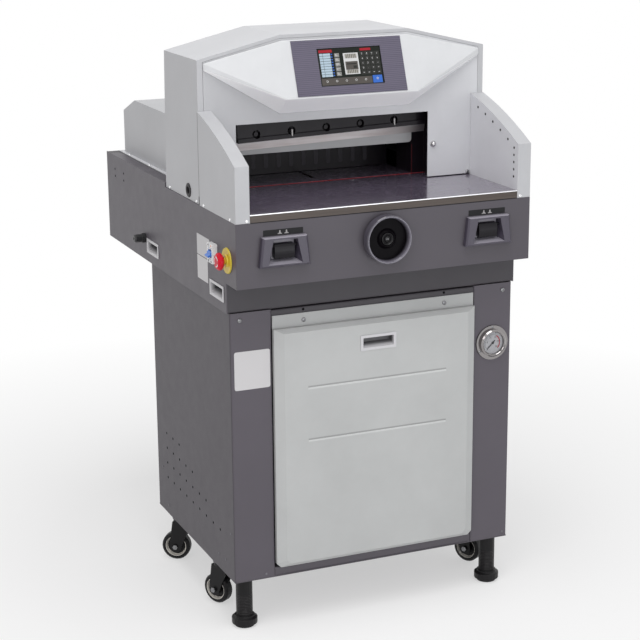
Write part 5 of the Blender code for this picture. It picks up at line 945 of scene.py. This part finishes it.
def fit_axle_nuts(zinc):
    """A nut on each end of the casters' axles."""
    nut = mesh_of("axle_nut", lathe([
        (0, 0.0038), (0.0026, 0.0038), (0.0032, 0.0030), (0.0066, 0.0028),
        (0.0070, 0.0022), (0.0070, 0.0), (0, 0.0),
    ], 6))
    for joint in frame["joints"]:
        if joint["name"].startswith("roll_"):
            corner = joint["name"].removeprefix("roll_")
            for side, sign in (("near", 1), ("far", -1)):
                out = Vector(joint["axis"]) * sign
                spot = standing(Vector(joint["pos_m"]) + out * 0.0206, out)
                fit(f"axle_nut_{corner}_{side}", nut, zinc, spot, "fork_" + corner)


def fit_set_pins(steel):
    """Set pins that hang in front of two of the knife carrier's bolt pockets."""
    pin = mesh_of("knife_adjuster", lathe([
        (0, 0.0225), (0.0022, 0.0222), (0.0036, 0.0206), (0.0036, 0.0050),
        (0.0030, 0.0042), (0.0030, 0.0008), (0.0024, 0.0002), (0, 0.0002),
    ], 20))
    carrier = Matrix.Translation(place(-0.150, 0.308, 1.300)) @ Matrix.Rotation(math.radians(-1.7), 4, "Y")
    for index, across in enumerate((0.0245, 0.293)):
        spot = carrier @ Matrix.Translation((across, -0.0329, -0.1604))
        fit(f"knife_adjuster_{index}", pin, steel, spot, "knife")


class CUTTER_OT_fasteners(bpy.types.Operator):
    """Screws, rivets, nuts, set pins and the small dark holes"""

    bl_idname = "cutter.fasteners"
    bl_label = "Fasteners"

    def execute(self, context):
        zinc = zinc_plate()
        chrome = plated("chrome_plate", settings("metal").chrome, 0.10)
        # A lighter copy of the zinc plate: painted light on the screws of the hood, the wings and the rear
        lit_zinc = plated("bright_zinc", (0.86, 0.86, 0.87), 0.24)
        painted = powder_coat("painted_rivet", (0.13, 0.125, 0.14), 0.40)
        black = lens_black_and_hole_shade()
        screw = pan_screw(0.0052, 0.0030)
        small = pan_screw(0.0036, 0.0024)
        rivet = mesh_of("blind_rivet", dome(0.0034, 0.0014, 16))
        # Black discs on the rail and the body's sides: painted shade where their small holes are
        hole_shade = mesh_of("hole_shade_disc", lathe([(0, 0.0002), (0.0030, 0.0002), (0.0032, 0.0), (0, 0.0)], 16))
        lens = mesh_of("barrier_lens", lathe(
            [(0, 0.0004), (0.0022, 0.0004), (0.0031, 0.0002), (0.0032, -0.0004), (0, -0.0004)], 16
        ))
        # Rows of the right side, mirrored on the left: place across, then points along and up
        rows = (
            ("cover_screw", screw, zinc, FRONT, 0.182, [(PILLAR_FRONT, 0.752)], "service_cover"),
            ("pillar_screw", screw, zinc, FRONT, 0.340, [(PILLAR_FRONT, 0.767)]),
            ("rail_hole", hole_shade, black, FRONT, 0.182, [(0.0708, 0.7765)]),
            ("hood_screw", small, lit_zinc, RIGHT, HOOD_SIDE, [(0.458, SCREW_LEVEL), (0.263, SCREW_LEVEL)]),
            ("wing_screw", small, lit_zinc, RIGHT, BODY_SIDE, [(0.208, SCREW_LEVEL), (0.034, SCREW_LEVEL)]),
            ("wing_front_screw", small, lit_zinc, FRONT, 0.3435, [(0.0, SCREW_LEVEL)]),
            ("barrier_lens", lens, black, LEFT, 0.336, BARRIER_SPOTS),
            ("housing_foot_screw", small, lit_zinc, TOP, 0.3355,
             [(along, 1.0199) for along in (0.55, 0.72, 0.89)]),
            ("stand_rivet", rivet, painted, RIGHT, STAND_SIDE,
             [(0.090, 0.243), (0.177, 0.161), (0.131, 0.163), (0.560, 0.150), (0.600, 0.243)]),
            ("body_hole", hole_shade, black, RIGHT, BODY_SIDE,
             [(along, up) for along in (0.840, 0.917) for up in (0.962, 0.981)]),
        )
        for side, sign in SIDES:
            for name, mesh, finish, normal, across, spots, *body in rows:
                points = [(sign * across, *spot) for spot in spots]
                fit_row(f"{name}_{side}", mesh, finish, (sign * normal[0], *normal[1:]), points, *body)
        spots = [(-0.285, PILLAR_FRONT, 0.136), (0.352, PILLAR_FRONT, 0.138)]
        fit_row("pillar_rivet", rivet, painted, FRONT, spots)
        fit_row("hood_plate_screw", screw, zinc, FRONT, [(0.330, HOOD_FRONT, 1.030), (-0.330, HOOD_FRONT, 1.030)])
        knob = lathe([
            (0, 0.0092), (0.0028, 0.0088), (0.0052, 0.0070), (0.0064, 0.0042), (0.0066, 0.0022),
            (0.0078, 0.0016), (0.0080, 0.0), (0, 0.0),
        ], 24)
        fit("hood_plate_knob", knob, chrome, facing((0.234, HOOD_FRONT, 1.106), FRONT))
        flush = mesh_of("countersunk_screw", lathe(
            [(0, 0.0001), (0.0012, 0.0001), (0.0030, 0.0003), (0.0032, 0.0), (0, 0.0)], 18
        ))
        spots = ((0.045, 0.292), (0.000, 0.017), (0.200, 0.297), (-0.215, 0.292))
        fit_row("table_screw", flush, chrome, TOP, [(*spot, 1.024) for spot in spots])
        for side, sign in SIDES:
            fit_vents("vent_shades_" + side, sign, black)
        rear = (("stand_rear_panel", 3, (0.045, 0.5, 0.955)), ("body_tray", 4, (0.10, 0.90)))
        for node, steps, levels in rear:
            low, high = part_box(node)
            for step in range(steps):
                across = low.x + (high.x - low.x) * (0.05 + 0.90 * step / (steps - 1))
                for index, level in enumerate(levels):
                    point = (across, high.y, low.z + (high.z - low.z) * level)
                    fit(f"{node}_screw_{step}_{index}", small, lit_zinc, standing(point, REAR))
        fit_axle_nuts(zinc)
        fit_set_pins(plated("pin_steel", (0.26, 0.25, 0.25), 0.34))
        return {"FINISHED"}


def fit_breaker():
    """Dark bars as painted shade in its grooves, printing and terminal screws on the breaker's face."""
    across, along, up = -0.3823, 0.140, 0.914
    spot = facing((across, along, up), LEFT)
    # The dark bars are painted shade in the face's grooves
    dark = flat_ink("breaker_groove", (0.10, 0.10, 0.11), 0.5)
    blue = flat_ink("breaker_print", (0.08, 0.16, 0.45), 0.4)
    orange = flat_ink("breaker_mark", (0.75, 0.16, 0.03), 0.4)
    grooves = [(-0.0003, 0.0105, 0.0003, 0.0220), (-0.0003, -0.0220, 0.0003, -0.0105)]
    grooves += [(-0.0175, level, 0.0175, level + 0.0004) for level in (0.0135, -0.0135)]
    stripes = [(middle - 0.0008, 0.0108, middle + 0.0008, 0.0128) for middle in (-0.0075, 0.0075)]
    fit("breaker_grooves", bars(grooves), dark, spot)
    fit("breaker_stripes", bars(stripes), blue, spot)
    fit("breaker_mark", bars([(0.0065, 0.0165, 0.0110, 0.0205)]), orange, spot)
    screw = pan_screw(0.0030, 0.0014)
    for name, aside, rise in (("0_low", 0.009, -0.0185), ("0_high", 0.009, 0.0185), ("1_low", -0.009, -0.0185)):
        spot = facing((across, along + aside, up + rise), LEFT)
        fit("breaker_terminal_" + name, screw, zinc_plate(), spot)


def fit_stop_arrows():
    """Three turning arrows on the mushroom head."""
    arrows = bmesh.new()
    for start in (20, 140, 260):
        end = start + 62
        arc_strip(0.0098, 0.0124, start, end, 0.0, PRINT, 10, arrows)
        head = []
        for radius, angle in ((0.0076, end), (0.0146, end), (0.0112, end + 17)):
            turn = math.radians(angle)
            head.append((radius * math.cos(turn), radius * math.sin(turn)))
        slab(head, 0.0, PRINT, arrows)
    spot = facing((0, 0.057, 0.913), LEFT)
    spot.translation.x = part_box("estop_head")[0].x
    fit("stop_arrows", arrows, flat_ink("stop_arrow_white", (0.78, 0.77, 0.77), 0.4), spot, "stop_head")


class CUTTER_OT_side_fittings(bpy.types.Operator):
    """Grommet, seams beside the wings, blank plates, breaker markings and the stop button's arrows"""

    bl_idname = "cutter.side_fittings"
    bl_label = "Side Fittings"

    def execute(self, context):
        black = lens_black_and_hole_shade()
        ring = lathe([
            (0.0085, 0.0012), (0.0100, 0.0024), (0.0145, 0.0026), (0.0168, 0.0014), (0.0170, 0.0),
            (0.0142, -0.0004), (0.0142, -0.0030), (0.0085, -0.0030), (0.0085, 0.0012),
        ])
        # A black disc set into the grommet: painted shade in its hole
        grommet_shade = lathe([(0, -0.0024), (0.0086, -0.0024), (0.0086, -0.0030), (0, -0.0030)], 24)
        spot = facing((-HOOD_SIDE, 0.318, 1.028), LEFT)
        fit("hood_grommet", ring, moulded("grommet_rubber", (0.022, 0.021, 0.023), 0.5, 0.3), spot)
        fit("hood_grommet_shade", grommet_shade, black, spot)
        shadow = flat_ink("seam_shadow", (0.16, 0.155, 0.16), 0.6, 0.2)
        for side, sign in SIDES:
            # The slot is a black piece: painted shade in the gap at the foot of the seam
            slot = slab(rounded(0.0020, 0.0105, 0.0016, 3), -0.001, 0.0002)
            seam = bars([(-0.0010, 0.0, 0.0010, 0.204)], -0.0006, 0.0001)
            outward = (sign, 0, 0)
            fit("seam_slot_" + side, slot, black, facing((sign * BODY_SIDE, 0.2385, 1.0165), outward))
            fit("wing_seam_" + side, seam, shadow, facing((sign * BODY_SIDE, 0.2377, 1.0175), outward))
        foil = brushed("blank_foil", (0.50, 0.49, 0.50), 0.42, 1)
        card = flat_ink("blank_plate", (0.60, 0.59, 0.60), 0.45)
        for name, width, height, along, up, finish in (
            ("rating_plate_blank", 0.086, 0.049, 0.219, 0.9125, foil),
            ("side_plate_blank", 0.072, 0.056, 0.226, 0.8580, card),
        ):
            plate = slab(rounded(width / 2, height / 2, 0.0015, 3), 0.0, 0.0003)
            fit(name, plate, finish, facing((-BODY_SIDE, along, up), LEFT))
        plate = slab(rounded(0.044, 0.046, 0.005, 5), 0.0, 0.0004)
        fit("pillar_plate_blank", plate, card, facing((-0.311, PILLAR_FRONT, 0.647), FRONT))
        fit_breaker()
        fit_stop_arrows()
        return {"FINISHED"}


def fit_hub():
    """Raised rings and the small cap in the middle of the handwheel."""
    black = flat_ink("hub_gloss", (0.006, 0.0055, 0.007), 0.18, 0.30)
    grey = flat_ink("hub_mark", (0.34, 0.33, 0.35), 0.35)
    low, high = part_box("handwheel")
    spot = standing(((low.x + high.x) / 2, low.y + 0.016, (low.z + high.z) / 2), FRONT)
    rings = lathe([
        (0.0146, 0.0004), (0.0143, 0.0024), (0.0136, 0.0030), (0.0124, 0.0026), (0.0118, 0.0008), (0.0112, 0.0004),
        (0.0108, 0.0014), (0.0102, 0.0016), (0.0096, 0.0012), (0.0092, -0.0006), (0.0146, -0.0006), (0.0146, 0.0004),
    ], 48)
    cap = lathe([(0, 0.0022), (0.0050, 0.0021), (0.0062, 0.0014), (0.0066, 0.0), (0, 0.0)])
    centres = [(across, 0.0) for across in (-0.0021, 0.0, 0.0021)]
    fit("hub_rings", mesh_of("hub_rings", rings, 60.0), black, spot, "handwheel")
    fit("hub_cap", cap, black, spot, "handwheel")
    fit("hub_marks", hoops(0.0010, 0.0005, 10, centres, 0.0018, 0.0024), grey, spot, "handwheel")


class CUTTER_OT_front_fittings(bpy.types.Operator):
    """Paddle strips and surrounds, hub rings, a painted shadow strip under the table, painted shade in the
    backgauge's slots and a painted red light line
    """

    bl_idname = "cutter.front_fittings"
    bl_label = "Front Fittings"

    def execute(self, context):
        film = flat_ink("strip_film", (0.007, 0.007, 0.008), 0.5, 0.25)
        white = flat_ink("strip_print", (0.34, 0.33, 0.33), 0.45)
        arrow = [
            (-0.0052, -0.0040), (0.0052, -0.0040), (0.0052, -0.0026), (0.0022, -0.0018),
            (0.0012, 0.0042), (-0.0012, 0.0042), (-0.0022, -0.0018), (-0.0052, -0.0026),
        ]
        for side, middle in PADDLE_MIDDLES:
            spot = facing((middle, 0.0, 0.98025), FRONT)
            fit("paddle_strip_" + side, slab(rounded(0.048, 0.00675, 0.0008, 2), 0.0, 0.0003), film, spot)
            marks = bmesh.new()
            for across in (-0.0080, 0.0080):
                slab([(across + x, y) for x, y in arrow], 0.0003, 0.0005, marks)
            fit("paddle_marks_" + side, marks, white, spot)
        outer = round_corners((-0.0278, -0.0176), (0.0278, 0.0276), 0.003)
        inner = round_corners((-0.0252, -0.0172), (0.0252, 0.0182), 0.0052)
        for side, middle in PADDLE_MIDDLES:
            surround = band(outer, inner, -0.0066, -0.0046)
            fit("paddle_surround_" + side, surround, control_plastic(), facing((middle, 0.0, 0.9375), FRONT))
        fit_hub()
        # A dark strip along the joint under the table: painted shadow where the table meets the front panel
        low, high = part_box("main_table")
        outline = round_corners((low.x - high.x + 0.001, -0.0009), (-0.001, 0.0009), 0.0004, 2)
        gap_shadow = moulded("table_seal_rubber", (0.012, 0.011, 0.013), 0.6, 0.2)
        fit("table_seal", slab(outline, -0.001, 0.0004), gap_shadow,
            standing((high.x, PANEL_LOW.y, PANEL_HIGH.z), FRONT))
        # Dim inlays that fill the backgauge's slots: painted shade for the space seen through them
        inlay_shade = flat_ink("slot_inlay_shade", (0.030, 0.026, 0.034), 0.45, 0.3)
        outline = ring_points(0.0054, 9, math.pi, 2 * math.pi) + [(0.0054, 0.0565), (-0.0054, 0.0565)]
        inlay = mesh_of("gauge_slot_inlay_shade", slab(outline, 0.0, 0.0006))
        for index in range(13):
            spot = facing((-0.254 + 0.0335 * index, 0.4504, 1.0438), FRONT)
            fit(f"gauge_slot_inlay_shade_{index}", inlay, inlay_shade, spot, "backgauge")
        # Painted light: the red light line of the cutting line, drawn on the side guide
        red = flat_ink("painted_light_line_red", (0.16, 0.010, 0.016), 0.4, 0.3)
        light_line = bars([(-0.0004, 0.0, 0.0004, 0.070)])
        fit("guide_painted_light_line", light_line, red, facing((0.2146, 0.3163, 1.0243), FRONT))
        return {"FINISHED"}


class CUTTER_OT_gauge_face(bpy.types.Operator):
    """White dial with its scale, figures and red sector"""

    bl_idname = "cutter.gauge_face"
    bl_label = "Gauge Face"

    def execute(self, context):
        white = flat_ink("dial_white", (0.50, 0.50, 0.525), 0.5)
        black = flat_ink("dial_black", (0.012, 0.012, 0.012), 0.5, 0.2)
        red = flat_ink("dial_red", (0.45, 0.015, 0.03), 0.5, 0.2)
        low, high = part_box("gauge_case")
        middle = Vector(((low.x + high.x) / 2, 0.0, (low.z + high.z) / 2)) - ORIGIN
        spot = facing((middle.x, 0.0632, middle.z), FRONT)
        fit("gauge_dial", lathe([(0, 0.0001), (0.0274, 0.0001), (0.0275, 0.0), (0, 0.0)], 40), white, spot)
        # The scale runs clockwise from 225 to -45 degrees, with a long tick at every fifth
        ticks = bmesh.new()
        for index in range(26):
            angle = math.radians(225 - 270 * index / 25)
            length, half = (0.0020, 0.00015) if index % 5 else (0.0036, 0.00028)
            along = Vector((math.cos(angle), math.sin(angle)))
            side = Vector((-along.y, along.x)) * half
            near, far = along * (0.0212 - length), along * 0.0212
            slab([near - side, far - side, far + side, near + side], 0.0001, 0.00016, ticks)
        arc_strip(0.0210, 0.0213, -45, 225, 0.0001, 0.00016, 60, ticks)
        fit("gauge_scale", ticks, black, spot)
        fit("gauge_red_sector", arc_strip(0.0180, 0.0204, -45, 58, 0.0001, 0.00015, 30), red, spot)
        for index, text in enumerate(("0", "5", "10", "15", "20", "25")):
            angle = math.radians(225 - 270 * index / 5)
            offset = Matrix.Translation((0.0145 * math.cos(angle), 0.0145 * math.sin(angle), 0.00015))
            name = "gauge_figure_" + text
            fit(name, lettering(name, text, 0.0060, 0.00006), black, spot @ offset)
        screw = pan_screw(0.0030, 0.0014)
        for index in range(3):
            angle = math.radians(90 + 120 * index)
            point = (middle.x + 0.0388 * math.cos(angle), 0.0652, middle.z + 0.0388 * math.sin(angle))
            fit(f"gauge_flange_screw_{index}", screw, zinc_plate(), facing(point, FRONT))
        return {"FINISHED"}


def layer_height(layer):
    """Height of one of the display's layers over the screen's glass."""
    return -0.0004 + 0.00012 * layer


def screen_point(left, top):
    """A share of the visible screen, from its upper left corner, in metres from its middle."""
    return (left - 0.5) * 0.162, (0.5 - top) * 0.090


class CUTTER_OT_touch_panel(bpy.types.Operator):
    """The display's own plain layout: a list, picture, keys and a row of buttons"""

    bl_idname = "cutter.touch_panel"
    bl_label = "Touch Panel"

    def execute(self, context):
        rake = math.atan2(0.048, 0.1295)
        self.spot = facing((0.003, 0.211, 1.31025), (0, -math.cos(rake), math.sin(rake)))
        red = display_film("display_red", (0.30, 0.008, 0.018), 0.15)
        sky = display_film("display_sky", (0.34, 0.43, 0.50), 0.22)
        blue = display_film("display_blue", (0.03, 0.11, 0.42), 0.25)
        dark = display_film("display_key", (0.020, 0.021, 0.019), 0.1)
        bar = display_film("display_bar", (0.070, 0.062, 0.056), 0.15)
        pale = display_film("display_white", (0.50, 0.50, 0.50), 0.22)
        grey = display_film("display_grey", (0.20, 0.20, 0.19), 0.15)
        stripes = hatched("display_hatching", (0.30, 0.29, 0.26), (0.075, 0.07, 0.06), 0.0045)
        self.tile("tab_left", red, [(0.03, 0.04, 0.24, 0.115)], 0)
        self.tile("tab_right", red, [(0.68, 0.04, 0.85, 0.105)], 0)
        rows = [0.135 + 0.0695 * index for index in range(9)]
        self.tile("list", sky, [(0.035, top, 0.205, top + 0.060) for top in rows], 0)
        self.tile("list_marks", blue, [(0.214, top + 0.016, 0.238, top + 0.044) for top in rows], 0)
        self.tile("list_ends", sky, [(0.208, top, 0.244, top + 0.060) for top in rows], -1)
        self.tile("list_rule", dark, [(0.085, 0.135, 0.089, 0.75)], 1)
        steps = [0.140 + 0.124 * index for index in range(5)]
        self.tile("steps", grey, [(0.268, top, 0.345, top + 0.104) for top in steps], 0)
        glyphs = []
        for index, step in enumerate(steps):
            for part in range(3):
                top = step + 0.020 + 0.022 * part
                glyphs.append((0.280, top, 0.300 + 0.012 * ((index + part) % 4), top + 0.010))
        self.tile("step_glyphs", pale, glyphs, 1)
        self.tile("picture", pale, [(0.405, 0.150, 0.640, 0.715)], 0)
        self.tile("picture_hatching", stripes, [(0.43, 0.178, 0.615, 0.29), (0.43, 0.60, 0.615, 0.69)], 1)
        self.tile("picture_stack", bar, [(0.425, 0.375, 0.620, 0.595)], 1)
        self.tile("picture_knife", dark, [(0.445, 0.425, 0.600, 0.455), (0.545, 0.490, 0.600, 0.560)], 2)
        keys = [(0.665 + 0.080 * column, 0.135 + 0.124 * row) for row in range(5) for column in range(4)]
        self.tile("keys", dark, [(left, top, left + 0.072, top + 0.112) for left, top in keys], 0)
        for index, text in enumerate("789/456x123-0.=+"):
            left, top = keys[index]
            offset = Matrix.Translation((*screen_point(left + 0.036, top + 0.056), layer_height(1)))
            name = f"display_figure_{index}"
            fit(name, lettering(name, text, 0.0062, 0.0001), pale, self.spot @ offset)
        spans = [(left + 0.024, top + 0.050, left + 0.048, top + 0.060) for left, top in keys[16:]]
        self.tile("key_marks", pale, spans, 1)
        self.tile("bar", bar, [(0.02, 0.790, 0.815, 0.975)], 0)
        self.tile("go", blue, [(0.825, 0.775, 0.975, 0.975)], 0)
        centres = [screen_point(0.105 + 0.152 * index, 0.870) for index in range(5)] + [screen_point(0.900, 0.860)]
        marks = hoops(0.0026, 0.0017, 16, centres, layer_height(0), layer_height(1))
        fit("display_bar_marks", marks, pale, self.spot)
        return {"FINISHED"}

    def tile(self, name, finish, boxes, layer):
        """Flat areas of one colour, each given by its left, top, right and bottom share."""
        spans = [(*screen_point(left, bottom), *screen_point(right, top)) for left, top, right, bottom in boxes]
        build = bars(spans, layer_height(layer) - 0.00008, layer_height(layer))
        fit("display_" + name, build, finish, self.spot)


def add_world(stage):
    """Even light that looks white where it is seen."""
    world = bpy.data.worlds.new("studio")
    bpy.context.scene.world = world
    world.use_nodes = True
    sky = Network(world.node_tree)
    background = world.node_tree.nodes["Background"]
    sky.join(background.inputs["Color"], (1.0, 1.0, 1.0))
    sky.join(background.inputs["Strength"], sky.seen() * (1.0 - stage.world) + stage.world)


def add_floor(stage):
    """Pale floor that keeps the shadow and runs out into white further away."""
    build = bmesh.new()
    bmesh.ops.create_circle(build, cap_ends=True, segments=96, radius=7.0)
    mesh = bpy.data.meshes.new("stage_floor")
    build.to_mesh(mesh)
    build.free()
    floor = linked("stage_floor", mesh)
    floor.location = (0.0, 0.0, -0.0005)
    finish = Finish("stage_floor", stage.floor, 0.9, specular_ior_level=0.0)
    reach = finish.vectors("LENGTH", finish.position(), out="Value")
    white = finish.node("ShaderNodeEmission", {}, {"Color": (1.0, 1.0, 1.0), "Strength": 1.0})
    painted = Value(finish, finish.shader.outputs[0])
    away = finish.span(reach, 0.7, 2.2, 0.5, 1.0) * finish.seen()
    blend = finish.node("ShaderNodeMixShader", {}, {0: away, 1: painted, 2: white})
    finish.join(finish.tree.nodes["Material Output"].inputs["Surface"], blend)
    mesh.materials.append(finish.material)


def add_lamp(name, location, size, power, tint):
    """A round lamp that looks at the middle of the machine."""
    lamp = bpy.data.lights.new(name, "AREA")
    lamp.shape = "DISK"
    lamp.size = size
    lamp.energy = power
    lamp.color = tint
    obj = linked(name, lamp)
    obj.location = location
    obj.rotation_euler = (MIDDLE - Vector(location)).to_track_quat("-Z", "Y").to_euler()


def add_camera(lens):
    """The camera that took the photograph, fitted to its outline."""
    azimuth, pitch, roll = (math.radians(angle) for angle in (23.08, 15.23, -0.47))
    level = Vector((math.cos(azimuth), -math.sin(azimuth), 0.0))
    ahead = Vector((
        math.sin(azimuth) * math.cos(pitch), math.cos(azimuth) * math.cos(pitch), -math.sin(pitch)
    ))
    turn = Matrix((level, level.cross(ahead), -ahead)).transposed().to_4x4()
    camera = bpy.data.cameras.new("photo_camera")
    camera.lens = lens
    camera.sensor_width = 36.0
    camera.clip_end = 50.0
    obj = linked("photo_camera", camera)
    spot = Matrix.Translation(place(-1.6657, -3.5098, 1.8053))
    obj.matrix_world = spot @ turn @ Matrix.Rotation(roll, 4, "Z")
    bpy.context.scene.camera = obj


class CUTTER_OT_stage(bpy.types.Operator):
    """Pale floor, soft lamps and the camera"""

    bl_idname = "cutter.stage"
    bl_label = "Stage"

    def execute(self, context):
        stage = settings("stage")
        add_floor(stage)
        add_world(stage)
        # Name, place, diameter, power and tint
        for lamp in (
            ("key_lamp", (-0.2, -1.4, 4.4), 2.8, stage.key, (1.0, 1.0, 1.0)),
            ("left_lamp", (-2.7, -2.8, 2.7), 2.4, stage.left, (1.0, 0.95, 0.955)),
            ("front_lamp", (0.6, -3.5, 0.55), 2.4, stage.front, (0.95, 0.975, 1.0)),
        ):
            add_lamp(*lamp)
        add_camera(stage.lens)
        context.scene.view_settings.view_transform = "Standard"
        return {"FINISHED"}


class CUTTER_PT_dressing(bpy.types.Panel):
    """Buttons and settings for dressing the paper cutter"""

    bl_idname = "CUTTER_PT_dressing"
    bl_label = "Paper Cutter"
    bl_space_type = "VIEW_3D"
    bl_region_type = "UI"
    bl_category = "Paper Cutter"

    def draw(self, context):
        layout = self.layout
        for operator in OPERATORS:
            layout.operator(operator.bl_idname)
        for name, group in GROUPS.items():
            box = layout.box()
            box.label(text=name.title())
            for key in group.__annotations__:
                box.prop(settings(name), key)


OPERATORS = (
    CUTTER_OT_paintwork,
    CUTTER_OT_metalwork,
    CUTTER_OT_plastics,
    CUTTER_OT_fasteners,
    CUTTER_OT_side_fittings,
    CUTTER_OT_front_fittings,
    CUTTER_OT_gauge_face,
    CUTTER_OT_touch_panel,
    CUTTER_OT_stage,
)
GROUPS = {
    "paint": PaintSettings,
    "metal": MetalSettings,
    "plastic": PlasticSettings,
    "stage": StageSettings,
}


def register():
    for name, group in GROUPS.items():
        bpy.utils.register_class(group)
        setattr(bpy.types.Scene, "cutter_" + name, bpy.props.PointerProperty(type=group))
    for operator in OPERATORS:
        bpy.utils.register_class(operator)
    bpy.utils.register_class(CUTTER_PT_dressing)


def unregister():
    bpy.utils.unregister_class(CUTTER_PT_dressing)
    for operator in reversed(OPERATORS):
        bpy.utils.unregister_class(operator)
    for name, group in reversed(GROUPS.items()):
        delattr(bpy.types.Scene, "cutter_" + name)
        bpy.utils.unregister_class(group)


def main():
    register()
    for operator in OPERATORS:
        category, action = operator.bl_idname.split(".")
        getattr(getattr(bpy.ops, category), action)()


if __name__ == "__main__":
    main()
